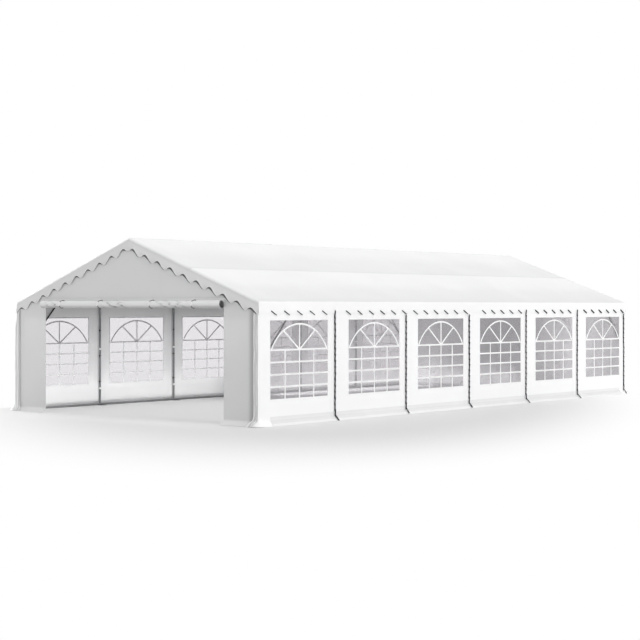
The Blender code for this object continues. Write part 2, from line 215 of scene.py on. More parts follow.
# The steel skeleton: seven frames, five purlins and two ground rails of dark galvanised
# tube, 38 mm across. Sleeves join the tubes, and a through bolt with a hexagon head and
# nut holds each tube end in its sleeve. The thinner corner braces are darkened almost to
# black, a painted shade.
STEEL_TONES = ((0.220, 0.224, 0.230), (0.370, 0.376, 0.386))
BRACE_SHADE_TONE = 0.05
BRACE_ENDS = (5.0, 5.945)
BRACE_HEIGHTS = (0.90, 1.955)
BOLT_RADIUS = 0.008
BOLT_LENGTH = 0.060
BOLT_FROM_JOINT = 0.15
BOLT_FROM_PURLIN = 0.07
BAY = 2.0
BAY_COUNT = 6
HALF_WIDTH = 3.0
HALF_LENGTH = 6.0
RIDGE_HEIGHT = 3.1
SIDE_HEIGHT = 2.0
SLOPE = math.atan((RIDGE_HEIGHT - SIDE_HEIGHT) / HALF_WIDTH)
LEG_X = 2.9732
END_FRAME_Y = 5.972
RAFTER_TOP = 3.0307
MIDDLE_PURLIN_X = 1.5
PURLIN_END = 5.956


def select_only(*pieces):
    """Select these pieces and nothing else, with the first one active."""
    bpy.ops.object.select_all(action="DESELECT")
    for piece in pieces:
        piece.select_set(True)
    bpy.context.view_layer.objects.active = pieces[0]


def smooth_from(piece, degrees):
    """Shade a piece smooth, but for edges sharper than this."""
    select_only(piece)
    bpy.ops.object.shade_smooth_by_angle(angle=math.radians(degrees))


def copy_of(piece, name):
    """A copy of a piece with a mesh of its own."""
    twin = bpy.data.objects.new(name, piece.data.copy())
    bpy.context.scene.collection.objects.link(twin)
    return twin


def frame_y(number):
    """How far along the tent a frame stands, from 1 at the front to 7 at the back."""
    return max(-END_FRAME_Y, min(END_FRAME_Y, (number - 1) * BAY - HALF_LENGTH))


steel = bpy.data.materials.new("dark_galvanised_steel")
steel.use_nodes = True
tree = steel.node_tree
shader = tree.nodes["Principled BSDF"]
place = add_node(tree, "ShaderNodeTexCoord").outputs["Object"]
spangle = add_node(tree, "ShaderNodeTexVoronoi", {"Vector": place, "Scale": 120.0}, feature="F1")
cloudy = add_node(tree, "ShaderNodeTexNoise", {"Vector": place, "Scale": 6.0, "Detail": 4.0})
mottle = reckon(tree, "MULTIPLY", spangle.outputs["Distance"], cloudy.outputs["Fac"])
tones = add_node(tree, "ShaderNodeValToRGB", {"Fac": mottle})
tones.color_ramp.elements[0].color = (*STEEL_TONES[0], 1.0)
tones.color_ramp.elements[1].color = (*STEEL_TONES[1], 1.0)
tones.color_ramp.elements[1].position = 0.4
sheen = add_node(
    tree,
    "ShaderNodeMapRange",
    {"Value": cloudy.outputs["Fac"], "To Min": 0.34, "To Max": 0.56},
)
grain = add_node(tree, "ShaderNodeBump", {"Strength": 0.15, "Distance": 0.0004, "Height": spangle.outputs["Distance"]})
parts = add_node(tree, "ShaderNodeSeparateXYZ", {0: place})
from_middle = reckon(tree, "ABSOLUTE", parts.outputs["Y"])
# Painted shade: the faces of the corner braces are darkened almost to black.
on_brace = reckon(tree, "GREATER_THAN", from_middle, BRACE_ENDS[0])
on_brace = reckon(tree, "MULTIPLY", on_brace, reckon(tree, "LESS_THAN", from_middle, BRACE_ENDS[1]))
on_brace = reckon(tree, "MULTIPLY", on_brace, reckon(tree, "GREATER_THAN", parts.outputs["Z"], BRACE_HEIGHTS[0]))
on_brace = reckon(tree, "MULTIPLY", on_brace, reckon(tree, "LESS_THAN", parts.outputs["Z"], BRACE_HEIGHTS[1]))
painted_shade = reckon(tree, "SUBTRACT", 1.0, reckon(tree, "MULTIPLY", on_brace, 1.0 - BRACE_SHADE_TONE))
painted = add_node(tree, "ShaderNodeMix", {"Factor": 1.0}, data_type="RGBA", blend_type="MULTIPLY")
tree.links.new(tones.outputs["Color"], painted.inputs["A"])
tree.links.new(painted_shade, painted.inputs["B"])
tree.links.new(painted.outputs["Result"], shader.inputs["Base Color"])
tree.links.new(sheen.outputs["Result"], shader.inputs["Roughness"])
tree.links.new(grain.outputs["Normal"], shader.inputs["Normal"])
shader.inputs["Metallic"].default_value = 0.85

bpy.ops.object.select_all(action="DESELECT")
bpy.ops.mesh.primitive_cylinder_add(vertices=6, radius=BOLT_RADIUS, depth=BOLT_LENGTH, rotation=(math.pi / 2, 0.0, 0.0))
bolt = bpy.context.object
bolt.name = "sleeve_bolt"
bpy.ops.object.mode_set(mode="EDIT")
bpy.ops.mesh.select_all(action="SELECT")
bpy.ops.mesh.bevel(offset=0.0015, segments=1, affect="EDGES")
bpy.ops.object.mode_set(mode="OBJECT")
bpy.ops.object.transform_apply(location=True, rotation=True, scale=True)

up_rafter = Vector((-math.cos(SLOPE), 0.0, math.sin(SLOPE)))
knee = Vector((LEG_X, 0.0, RAFTER_TOP - math.tan(SLOPE) * LEG_X))
ridge = Vector((0.0, 0.0, RAFTER_TOP))
middle = Vector((MIDDLE_PURLIN_X, 0.0, RAFTER_TOP - math.tan(SLOPE) * MIDDLE_PURLIN_X))
bolt_places = [
    knee - Vector((0.0, 0.0, BOLT_FROM_JOINT)),
    knee + up_rafter * BOLT_FROM_JOINT,
    middle - up_rafter * BOLT_FROM_PURLIN,
    middle + up_rafter * BOLT_FROM_PURLIN,
    ridge - up_rafter * BOLT_FROM_JOINT,
]

steel_nodes = [f"frame_{number}" for number in range(1, BAY_COUNT + 2)]
steel_nodes += ["ridge_purlin", "right_middle_purlin", "left_middle_purlin"]
steel_nodes += ["right_eave_purlin", "left_eave_purlin", "right_ground_rail", "left_ground_rail"]
for node in steel_nodes:
    tubes = bpy.data.objects.new(f"{node}_steel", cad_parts[node].data.copy())
    bpy.context.scene.collection.objects.link(tubes)
    select_only(tubes)
    bpy.ops.object.mode_set(mode="EDIT")
    bpy.ops.mesh.select_all(action="SELECT")
    bpy.ops.mesh.remove_doubles(threshold=0.0001)
    bpy.ops.object.mode_set(mode="OBJECT")
    for point in tubes.data.vertices:
        if "purlin" in node and abs(point.co.y) > PURLIN_END:
            point.co.y = math.copysign(PURLIN_END, point.co.y)
    if node.startswith("frame"):
        bolts = []
        for spot in bolt_places:
            for side in (1, -1):
                held = copy_of(bolt, "held_bolt")
                along = frame_y(int(node[-1]))
                held.data.transform(Matrix.Translation((side * spot.x, along, spot.z)))
                bolts.append(held)
        select_only(tubes, *bolts)
        bpy.ops.object.join()
    smooth_from(tubes, 35.0)
    dress(tubes, steel)
    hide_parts(node)
    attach(tubes, "root")
bpy.data.objects.remove(bolt)


# The side walls: six panels a side of white coated fabric, hung from the eave and laced
# to each other beside the legs. Each panel ends in a flap that lies out on the ground,
# and the end panels wrap round the corner tubes on to the gables.
CLOTH = 0.0015
WALL_TONE = 0.98
# Painted shade: the gable and trim fabrics are the walls' white fabric at a lower tone.
GABLE_TONE = 0.90
TRIM_TONE = 0.82
ROOF_TONE = 0.97
FABRIC_SHEER = 0.06
SEAM_BESIDE_LEG = 0.10
WALL_TOP = 1.99
FLAP_HEIGHT = 0.076
FLAP_REACH = 0.094
FLAP_LENGTH = math.hypot(FLAP_HEIGHT, FLAP_REACH)
FLAP_LEAN = math.atan2(FLAP_REACH, FLAP_HEIGHT)
FOLD_ROUND = 0.030
HEM_LIFT = 0.002
WINDOW_WIDTH = 1.44
WINDOW_BOTTOM = 0.424
WINDOW_TOP = 1.690
CORNER_ROUND = 0.016
WRAP_OFF_GABLE = 0.014
WRAP_WIDTH = 0.090
HEM_WEIGHT = 0.06
WRAP_TOP = 1.94
LOOSE_CORNER = 0.036
LOOSE_UP_TO = 1.76
WRAP_TUCK = 0.011
WRAP_TUCKED_FROM = 1.80
WRAP_GROOVE_AT = 0.044
WALL_STEP = 0.055
HEM_WIDTH = 0.040
# The shade at each height up from the hem: dust on the ground flap, painted shade at the fold, and a greyer sewn strip
# above it.
WALL_FOOT = (
    (0.0, 0.90),
    (0.045, 0.90),
    (0.065, 0.79),
    (0.125, 0.79),
    (0.140, 0.87),
    (0.185, 0.87),
    (0.195, 1.0),
)
# Where the shade at the foot fades out, towards each corner.
FOOT_SHADE_END = 5.72
# Painted shade in the folds and gaps where each end panel turns round a corner, by distance past the end of the tent.
CORNER_FOLD_SHADE = (
    (0.0, 1.0),
    (0.014, 0.86),
    (0.024, 0.74),
    (0.034, 0.90),
    (0.044, 1.0),
    (0.056, 0.70),
    (0.078, 0.70),
    (0.086, 1.0),
)
# Painted shade on the inner face of the walls, darker towards the eave.
INNER_TOP_SHADE = ((1.30, 1.0), (1.62, 0.87), (1.85, 0.68), (1.95, 0.63))


def coated_fabric(name, tone, shades=None):
    """White coated fabric: a fine weave under a soft sheen, with stitched hems."""
    material = bpy.data.materials.new(name)
    material.use_nodes = True
    tree = material.node_tree
    shader = tree.nodes["Principled BSDF"]
    flat = add_node(tree, "ShaderNodeAttribute", attribute_name="flat").outputs["Vector"]
    parts = add_node(tree, "ShaderNodeSeparateXYZ", {0: flat})
    place = add_node(tree, "ShaderNodeTexCoord").outputs["Object"]
    warp = add_node(tree, "ShaderNodeTexWave", {"Vector": flat, "Scale": 260.0}, bands_direction="X")
    weft = add_node(tree, "ShaderNodeTexWave", {"Vector": flat, "Scale": 260.0}, bands_direction="Y")
    weave = reckon(tree, "MULTIPLY", warp.outputs["Fac"], weft.outputs["Fac"])
    cloudy = add_node(tree, "ShaderNodeTexNoise", {"Vector": place, "Scale": 0.9, "Detail": 3.0})
    slack = add_node(tree, "ShaderNodeTexNoise", {"Vector": place, "Scale": 2.2, "Detail": 2.0})
    rows = reckon(tree, "ABSOLUTE", reckon(tree, "SUBTRACT", parts.outputs["Z"], HEM_WIDTH / 2))
    rows = reckon(tree, "ABSOLUTE", reckon(tree, "SUBTRACT", rows, HEM_WIDTH * 0.3))
    rows = reckon(tree, "LESS_THAN", rows, 0.0012)
    along = reckon(tree, "ADD", parts.outputs["X"], parts.outputs["Y"])
    dashes = reckon(tree, "SINE", reckon(tree, "MULTIPLY", along, 2 * math.pi / 0.009))
    stitches = reckon(tree, "MULTIPLY", rows, reckon(tree, "GREATER_THAN", dashes, -0.4))
    hem = reckon(tree, "LESS_THAN", parts.outputs["Z"], HEM_WIDTH)
    tones = add_node(tree, "ShaderNodeValToRGB", {"Fac": cloudy.outputs["Fac"]})
    tones.color_ramp.elements[0].color = (tone * 0.972, tone * 0.972, tone * 0.976, 1.0)
    tones.color_ramp.elements[1].color = (tone, tone, tone * 1.004, 1.0)
    tones.color_ramp.elements[0].position = 0.35
    tones.color_ramp.elements[1].position = 0.65
    thread = (tone * 0.86, tone * 0.86, tone * 0.87, 1.0)
    sewn = add_node(tree, "ShaderNodeMix", {"Factor": stitches, "B": thread}, data_type="RGBA")
    tree.links.new(tones.outputs["Color"], sewn.inputs["A"])
    colour = sewn.outputs["Result"]
    if shades:
        colour = shaded(tree, colour, shades(tree, parts, slack, place))
    tree.links.new(colour, shader.inputs["Base Color"])
    soft = add_node(tree, "ShaderNodeBump", {"Strength": 0.07, "Distance": 0.012, "Height": slack.outputs["Fac"]})
    raised = reckon(tree, "ADD", reckon(tree, "MULTIPLY", hem, 0.6), reckon(tree, "MULTIPLY", stitches, -0.4))
    edges = add_node(tree, "ShaderNodeBump", {"Strength": 0.5, "Distance": 0.001, "Height": raised})
    fine = add_node(tree, "ShaderNodeBump", {"Strength": 0.12, "Distance": 0.0003, "Height": weave})
    tree.links.new(soft.outputs["Normal"], edges.inputs["Normal"])
    tree.links.new(edges.outputs["Normal"], fine.inputs["Normal"])
    tree.links.new(fine.outputs["Normal"], shader.inputs["Normal"])
    gloss = add_node(tree, "ShaderNodeMapRange", {"Value": slack.outputs["Fac"], "To Min": 0.44, "To Max": 0.58})
    tree.links.new(gloss.outputs["Result"], shader.inputs["Roughness"])
    glow = add_node(tree, "ShaderNodeBsdfTranslucent", {"Color": colour})
    through = add_node(tree, "ShaderNodeMixShader", {0: FABRIC_SHEER, 1: shader.outputs[0], 2: glow.outputs[0]})
    tree.links.new(through.outputs[0], tree.nodes["Material Output"].inputs["Surface"])
    return material


def shaded(tree, colour, shade):
    """A colour made darker by a shade from 0 to 1."""
    product = add_node(tree, "ShaderNodeMix", {"Factor": 1.0}, data_type="RGBA", blend_type="MULTIPLY")
    tree.links.new(colour, product.inputs["A"])
    tree.links.new(shade, product.inputs["B"])
    return product.outputs["Result"]


def shade_along(tree, distance, stops):
    """A shade that runs through these stops of distance and shade."""
    ramp = add_node(tree, "ShaderNodeValToRGB", {"Fac": reckon(tree, "DIVIDE", distance, stops[-1][0])})
    while len(ramp.color_ramp.elements) < len(stops):
        ramp.color_ramp.elements.new(1.0)
    for stop, (at, shade) in zip(ramp.color_ramp.elements, stops):
        stop.position = at / stops[-1][0]
        stop.color = (shade, shade, shade, 1.0)
    return ramp.outputs["Color"]


def wall_shades(tree, parts, slack, place):
    """Dust and painted shade at the outer foot of a wall, painted shade along the folds at its corners, and painted
    shade on its inner face, darker towards the eave.
    """
    from_middle = reckon(tree, "ABSOLUTE", parts.outputs["X"])
    past_foot_shade_end = reckon(tree, "MAXIMUM", reckon(tree, "SUBTRACT", from_middle, FOOT_SHADE_END), 0.0)
    foot_dust_and_shade = shade_along(tree, reckon(tree, "ADD", parts.outputs["Y"], reckon(tree, "MULTIPLY", past_foot_shade_end, 5.0)), WALL_FOOT)
    sway = reckon(tree, "MULTIPLY", reckon(tree, "SUBTRACT", slack.outputs["Fac"], 0.5), 0.05)
    past = reckon(tree, "ADD", reckon(tree, "SUBTRACT", from_middle, HALF_LENGTH), sway)
    folds = shade_along(tree, past, CORNER_FOLD_SHADE)
    outer_shade = reckon(tree, "MULTIPLY", foot_dust_and_shade, folds)
    inner_shade = shade_along(tree, parts.outputs["Y"], INNER_TOP_SHADE)
    normal = add_node(tree, "ShaderNodeNewGeometry").outputs["Normal"]
    outward = add_node(tree, "ShaderNodeVectorMath", {0: normal, 1: place}, operation="DOT_PRODUCT")
    outer = reckon(tree, "GREATER_THAN", outward.outputs["Value"], 0.0)
    both = add_node(tree, "ShaderNodeMix", {"Factor": outer, "A": inner_shade, "B": outer_shade}, data_type="FLOAT")
    return both.outputs["Result"]


def grid_lines(step, *marks):
    """Even lines, no further apart than step, with one on every mark."""
    lines = [marks[0]]
    for low, high in zip(marks, marks[1:]):
        count = max(1, math.ceil((high - low) / step))
        lines += [low + (high - low) * index / count for index in range(1, count + 1)]
    return lines


def cut_cloth(name, across, up):
    """A flat cloth with its grid lines at the places given across it and up it."""
    bpy.ops.object.select_all(action="DESELECT")
    columns = len(across) - 1
    rows = len(up) - 1
    bpy.ops.mesh.primitive_grid_add(x_subdivisions=columns, y_subdivisions=rows, size=1.0, location=(0.0, 0.0, 0.0))
    cloth = bpy.context.object
    cloth.name = name
    for point in cloth.data.vertices:
        column = round((point.co.x + 0.5) * columns)
        row = round((point.co.y + 0.5) * rows)
        point.co = (across[column], up[row], 0.0)
    return cloth


def cut_away(cloth, inside):
    """Cut out the faces whose middle lies inside an opening."""
    for point in cloth.data.vertices:
        point.select = False
    for edge in cloth.data.edges:
        edge.select = False
    for face in cloth.data.polygons:
        face.select = inside(face.center.x, face.center.y)
    select_only(cloth)
    bpy.ops.object.mode_set(mode="EDIT")
    bpy.ops.mesh.select_mode(type="FACE")
    bpy.ops.mesh.delete(type="FACE")
    bpy.ops.object.mode_set(mode="OBJECT")


def mark_cloth(cloth, edge_distance):
    """Keep each point's place on the flat cloth, and how far it is from an edge."""
    flat = cloth.data.attributes.new("flat", "FLOAT_VECTOR", "POINT")
    for point, mark in zip(cloth.data.vertices, flat.data):
        mark.vector = (point.co.x, point.co.y, edge_distance(point.co.x, point.co.y))


def hang_cloth(cloth, place):
    """Move each point of the flat cloth to where it hangs."""
    for point in cloth.data.vertices:
        point.co = place(point.co.x, point.co.y)


def thicken_cloth(cloth, thickness=CLOTH):
    """Give a hung cloth its thickness, inward from its outer face."""
    select_only(cloth)
    layer = cloth.modifiers.new("cloth", "SOLIDIFY")
    layer.thickness = thickness
    layer.offset = -1.0
    bpy.ops.object.modifier_apply(modifier="cloth")
    bpy.ops.object.shade_smooth_by_angle(angle=math.radians(50.0))


def ease(share):
    """A smooth step from 0 to 1."""
    share = max(0.0, min(1.0, share))
    return share * share * (3 - 2 * share)


def ripple(first, second, size, seed):
    """The soft unevenness of hung cloth, from about -1 to 1."""
    return 2 * noise.noise(Vector((first / size, second / size, 7.3 * seed + 0.5)))


def flap_profile(up):
    """Outward reach, height and lean of a hung sheet, up along it from its ground hem."""
    above = up - FLAP_LENGTH
    bend = max(0.0, min(1.0, (above + FOLD_ROUND) / (2 * FOLD_ROUND)))
    lean = FLAP_LEAN * (1 - bend)
    if bend == 1.0:
        return 0.0, FLAP_HEIGHT + above, lean
    if bend == 0.0:
        share = up / FLAP_LENGTH
        return FLAP_REACH * (1 - share), FLAP_HEIGHT * share, lean
    share = FOLD_ROUND / FLAP_LENGTH
    reach = (1 - bend) ** 2 * FLAP_REACH * share
    low = (1 - bend) ** 2 * FLAP_HEIGHT * (1 - share)
    fold = 2 * bend * (1 - bend) * FLAP_HEIGHT
    high = bend ** 2 * (FLAP_HEIGHT + FOLD_ROUND)
    return reach, low + fold + high, lean


def wall_plan(along):
    """Where the right wall stands in plan, and which way it faces, corners included."""
    end = math.copysign(1.0, along)
    turn_start = HALF_LENGTH + WRAP_OFF_GABLE - CORNER_ROUND
    past = abs(along) - turn_start
    if past <= 0:
        return Vector((HALF_WIDTH, along)), Vector((1.0, 0.0))
    turn = min(past / CORNER_ROUND, math.pi / 2)
    x = HALF_WIDTH - CORNER_ROUND * (1 - math.cos(turn)) - max(0.0, past - CORNER_ROUND * math.pi / 2)
    y = end * (turn_start + CORNER_ROUND * math.sin(turn))
    return Vector((x, y)), Vector((math.cos(turn), end * math.sin(turn)))


def on_wall(along, up, out=0.0):
    """A point of the right wall, out from its cloth by this much."""
    foot, facing = wall_plan(along)
    reach, height, lean = flap_profile(up)
    reach += out * math.cos(lean)
    return Vector((foot.x + facing.x * reach, foot.y + facing.y * reach, height + out * math.sin(lean) + HEM_LIFT))


def wall_edge(along, up, start, end, window):
    """How far a point of a wall panel is from the nearest edge of its cloth."""
    top = WALL_TOP - FLAP_HEIGHT + FLAP_LENGTH
    low = WINDOW_BOTTOM - FLAP_HEIGHT + FLAP_LENGTH
    high = WINDOW_TOP - FLAP_HEIGHT + FLAP_LENGTH
    outside = max(abs(along - window) - WINDOW_WIDTH / 2, low - up, up - high)
    return max(0.0, min(along - start, end - along, up, top - up, abs(outside)))


white_fabric = coated_fabric("white_wall_fabric", WALL_TONE, wall_shades)
wall_top = WALL_TOP - FLAP_HEIGHT + FLAP_LENGTH
sill = WINDOW_BOTTOM - FLAP_HEIGHT + FLAP_LENGTH
head = WINDOW_TOP - FLAP_HEIGHT + FLAP_LENGTH
fold_low = FLAP_LENGTH - FOLD_ROUND
fold_high = FLAP_LENGTH + FOLD_ROUND
wall_rows = [0.0, 0.03, 0.06, fold_low, fold_low + 0.015, FLAP_LENGTH, fold_high - 0.015, fold_high]
wall_rows += grid_lines(WALL_STEP, fold_high, sill, head, wall_top)[1:]
walls = []
for bay in range(BAY_COUNT):
    start = bay * BAY - HALF_LENGTH - SEAM_BESIDE_LEG
    end = start + BAY
    window = (bay + 0.5) * BAY - HALF_LENGTH
    turn_start = HALF_LENGTH + WRAP_OFF_GABLE - CORNER_ROUND
    turn_end = turn_start + CORNER_ROUND * math.pi / 2
    wrap = [turn_start + (turn_end - turn_start) * share for share in (0.0, 0.25, 0.5, 0.75, 1.0)]
    wrap += [turn_end + (WRAP_WIDTH - CORNER_ROUND) * index / 10 for index in range(1, 11)]
    near_side = window - WINDOW_WIDTH / 2
    far_side = window + WINDOW_WIDTH / 2
    if bay == 0:
        start = -wrap[-1]
        columns = [-place for place in reversed(wrap)]
        columns += grid_lines(WALL_STEP, -turn_start, near_side, far_side, end)[1:]
    elif bay == BAY_COUNT - 1:
        end = wrap[-1]
        columns = grid_lines(WALL_STEP, start, near_side, far_side, turn_start) + wrap[1:]
    else:
        columns = grid_lines(WALL_STEP, start, near_side, far_side, end)
    for side, turn, number in (("right", 0.0, bay + 1), ("left", math.pi, BAY_COUNT - bay)):
        seed = number + (20 if side == "left" else 0)
        panel = cut_cloth(f"{side}_wall_{number}_cloth", columns, wall_rows)
        cut_away(panel, lambda along, up: abs(along - window) < WINDOW_WIDTH / 2 and sill < up < head)
        mark_cloth(panel, lambda along, up: wall_edge(along, up, start, end, window))

        def hung(along, up):
            """Where the panel hangs, slack in its middle and crumpled at foot and corner."""
            free = ease(wall_edge(along, up, start, end, window) / 0.15)
            out = 0.004 * free * ripple(along, up, 0.6, seed)
            out += 0.0012 * free * ripple(along, up, 0.16, seed + 40)
            foot = 1 - ease(up / (FLAP_LENGTH + 0.10))
            out += 0.006 * foot * ripple(along, up, 0.22, seed + 60)
            corner = ease((abs(along) - (HALF_LENGTH - 0.10)) / 0.08)
            out += corner * 0.003 * ripple(along * 2.5, up, 0.18, seed + 80)
            out += corner * foot * 0.024 * (0.8 + 0.6 * ripple(along * 2.5, up, 0.12, seed + 90))
            if (side, number) == ("left", 1):
                loose = ease((along - (HALF_LENGTH - 0.40)) / 0.35) * ease((LOOSE_UP_TO - up) / 0.16)
                out += LOOSE_CORNER * loose * (1 - ease((along - HALF_LENGTH) / 0.06))
            past = abs(along) - HALF_LENGTH - 0.008 * ripple(0.0, up, 0.3, seed + 100)
            groove = 0.5 + 0.5 * ripple(3.0, up, 0.35, seed + 110)
            out -= 0.011 * groove * math.exp(-((past - WRAP_GROOVE_AT) / 0.016) ** 2)
            out += 0.009 * ease((past - WRAP_GROOVE_AT) / 0.05)
            if past > 0:
                along += math.copysign(0.8 * foot * past, along)
                out -= WRAP_TUCK * ease((up - WRAP_TUCKED_FROM) / 0.10)
            spot = on_wall(along, up, max(out, -WRAP_TUCK if past > 0 else -0.004))
            spot.z = max(spot.z, HEM_LIFT)
            if up < HEM_WEIGHT:
                spot.z = HEM_LIFT + (spot.z - HEM_LIFT) * (0.2 + 0.8 * up / HEM_WEIGHT)
            if past > 0 and spot.z > WRAP_TOP:
                spot.z = WRAP_TOP + 0.05 * (spot.z - WRAP_TOP)
            return spot

        hang_cloth(panel, hung)
        panel.data.transform(Matrix.Rotation(turn, 4, "Z"))
        thicken_cloth(panel)
        dress(panel, white_fabric)
        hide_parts(f"{side}_wall_{number}")
        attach(panel, "root")
        walls.append((panel, side, turn, number, start, end, window))


# The windows: clear film welded into each wall panel, with flat bars of white fabric
# welded on its outer face. Below a spring bar the bars make a grid of four by four, with
# the same grid on the inner face, and above it three spokes run out to an arch.
FILM = 0.0008
FILM_GLOSS = 0.03
FILM_LAP = 0.015
FILM_X = HALF_WIDTH - CLOTH - 0.0006
BAR_WIDTH = 0.027
BAR_THICKNESS = 0.001
SPRING_HEIGHT = 1.214
BAR_SHEER = 0.08
ARCH_RADIUS = 0.793
ARCH_DROP = 0.373
ARCH_STEPS = 72
SPOKE_ANGLE = 30.0

film = blank_material("clear_window_film")
tree = film.node_tree
place = add_node(tree, "ShaderNodeTexCoord").outputs["Object"]
waves = add_node(tree, "ShaderNodeTexNoise", {"Vector": place, "Scale": 3.0, "Detail": 2.0})
haze = add_node(tree, "ShaderNodeTexNoise", {"Vector": place, "Scale": 1.1, "Detail": 3.0})
bent = add_node(tree, "ShaderNodeBump", {"Strength": 0.2, "Distance": 0.01, "Height": waves.outputs["Fac"]})
milk = add_node(tree, "ShaderNodeBsdfTranslucent", {"Color": (0.87, 0.86, 0.88, 1.0)})
clear = add_node(tree, "ShaderNodeBsdfTransparent", {"Color": (0.865, 0.855, 0.865, 1.0)})
gloss = add_node(tree, "ShaderNodeBsdfGlossy", {"Color": (1.0, 1.0, 1.0, 1.0), "Roughness": 0.2})
tree.links.new(bent.outputs["Normal"], gloss.inputs["Normal"])
share = add_node(tree, "ShaderNodeMapRange", {"Value": haze.outputs["Fac"], "To Min": 0.22, "To Max": 0.28})
body = add_node(tree, "ShaderNodeMixShader", {0: share.outputs["Result"], 1: clear.outputs[0], 2: milk.outputs[0]})
skin = add_node(tree, "ShaderNodeMixShader", {0: FILM_GLOSS, 1: body.outputs[0], 2: gloss.outputs[0]})
tree.links.new(skin.outputs[0], tree.nodes["Material Output"].inputs["Surface"])

bar_white = bpy.data.materials.new("white_window_bars")
bar_white.use_nodes = True
tree = bar_white.node_tree
shader = tree.nodes["Principled BSDF"]
place = add_node(tree, "ShaderNodeTexCoord").outputs["Object"]
weave = add_node(tree, "ShaderNodeTexNoise", {"Vector": place, "Scale": 240.0, "Detail": 1.0})
scuffs = add_node(tree, "ShaderNodeTexNoise", {"Vector": place, "Scale": 9.0, "Detail": 3.0})
tones = add_node(tree, "ShaderNodeValToRGB", {"Fac": scuffs.outputs["Fac"]})
tones.color_ramp.elements[0].color = (0.965, 0.965, 0.968, 1.0)
tones.color_ramp.elements[1].color = (0.985, 0.985, 0.988, 1.0)
fine = add_node(tree, "ShaderNodeBump", {"Strength": 0.15, "Distance": 0.0004, "Height": weave.outputs["Fac"]})
tree.links.new(tones.outputs["Color"], shader.inputs["Base Color"])
tree.links.new(fine.outputs["Normal"], shader.inputs["Normal"])
shader.inputs["Roughness"].default_value = 0.45
glow = add_node(tree, "ShaderNodeBsdfTranslucent", {"Color": tones.outputs["Color"]})
through = add_node(tree, "ShaderNodeMixShader", {0: BAR_SHEER, 1: shader.outputs[0], 2: glow.outputs[0]})
tree.links.new(through.outputs[0], tree.nodes["Material Output"].inputs["Surface"])

bpy.ops.object.select_all(action="DESELECT")
bpy.ops.mesh.primitive_grid_add(x_subdivisions=4, y_subdivisions=4, size=1.0, location=(0.0, 0.0, 0.0))
bars = bpy.context.object
bars.name = "window_bars"
bars.scale = (WINDOW_WIDTH, SPRING_HEIGHT - WINDOW_BOTTOM, 1.0)
bars.location = (0.0, (SPRING_HEIGHT + WINDOW_BOTTOM) / 2, 0.0)
bpy.ops.object.transform_apply(location=True, rotation=True, scale=True)
bpy.ops.object.mode_set(mode="EDIT")
bpy.ops.mesh.select_mode(type="FACE")
bpy.ops.mesh.select_all(action="SELECT")
bpy.ops.mesh.inset(thickness=BAR_WIDTH / 2, use_individual=True)
bpy.ops.mesh.delete(type="FACE")
bpy.ops.object.mode_set(mode="OBJECT")
for point in bars.data.vertices:
    if abs(point.co.x) > WINDOW_WIDTH / 2 - BAR_WIDTH * 0.75:
        point.co.x += math.copysign(BAR_WIDTH / 2, point.co.x)
    if point.co.y < WINDOW_BOTTOM + BAR_WIDTH * 0.75:
        point.co.y -= BAR_WIDTH / 2

inner_grid = copy_of(bars, "inner_window_bars")

arch_centre = SPRING_HEIGHT - ARCH_DROP
bpy.ops.object.select_all(action="DESELECT")
bpy.ops.mesh.primitive_circle_add(
    vertices=ARCH_STEPS, radius=ARCH_RADIUS, fill_type="TRIFAN", location=(0.0, arch_centre, 0.0)
)
arch = bpy.context.object
bpy.ops.object.transform_apply(location=True, rotation=True, scale=True)
hub = min(arch.data.vertices, key=lambda point: (point.co - Vector((0.0, arch_centre, 0.0))).length)
hub.co.y = SPRING_HEIGHT
hub_index = hub.index
bpy.ops.object.mode_set(mode="EDIT")
bpy.ops.mesh.select_all(action="SELECT")
bpy.ops.mesh.bisect(plane_co=(0.0, SPRING_HEIGHT, 0.0), plane_no=(0.0, 1.0, 0.0), clear_inner=True)
bpy.ops.mesh.select_all(action="DESELECT")
bpy.ops.object.mode_set(mode="OBJECT")
spoke_run = ARCH_RADIUS * math.sin(math.radians(SPOKE_ANGLE))
for edge in arch.data.edges:
    first, second = (arch.data.vertices[index].co for index in edge.vertices)
    rim_end = first if first.y > second.y else second
    hub_end = second if first.y > second.y else first
    from_hub = abs(hub_end.x) < 0.001 and abs(hub_end.y - SPRING_HEIGHT) < 0.001
    kept = min(abs(abs(rim_end.x) - spoke_run), abs(rim_end.x), abs(rim_end.y - SPRING_HEIGHT)) < 0.002
    edge.select = from_hub and not kept
bpy.ops.object.mode_set(mode="EDIT")
bpy.ops.mesh.select_mode(type="EDGE")
bpy.ops.mesh.dissolve_edges(use_verts=False)
bpy.ops.mesh.select_mode(type="FACE")
bpy.ops.mesh.select_all(action="SELECT")
bpy.ops.mesh.inset(thickness=BAR_WIDTH / 2, use_individual=True)
bpy.ops.mesh.delete(type="FACE")
bpy.ops.mesh.select_all(action="DESELECT")
bpy.ops.object.mode_set(mode="OBJECT")
for edge in arch.data.edges:
    ends = [arch.data.vertices[index].co for index in edge.vertices]
    edge.select = all((end - Vector((0.0, arch_centre, 0.0))).length > ARCH_RADIUS - 0.004 for end in ends)
bpy.ops.object.mode_set(mode="EDIT")
bpy.ops.mesh.select_mode(type="EDGE")
bpy.ops.mesh.extrude_edges_move(TRANSFORM_OT_translate={"value": (0.0, 0.0, 0.0)})
growth = 1 + BAR_WIDTH / 2 / ARCH_RADIUS
bpy.ops.transform.resize(value=(growth, growth, 1.0), center_override=(0.0, arch_centre, 0.0))
bpy.ops.object.mode_set(mode="OBJECT")
for point in arch.data.vertices:
    point.co.x = max(-WINDOW_WIDTH / 2, min(WINDOW_WIDTH / 2, point.co.x))
select_only(bars, arch)
bpy.ops.object.join()
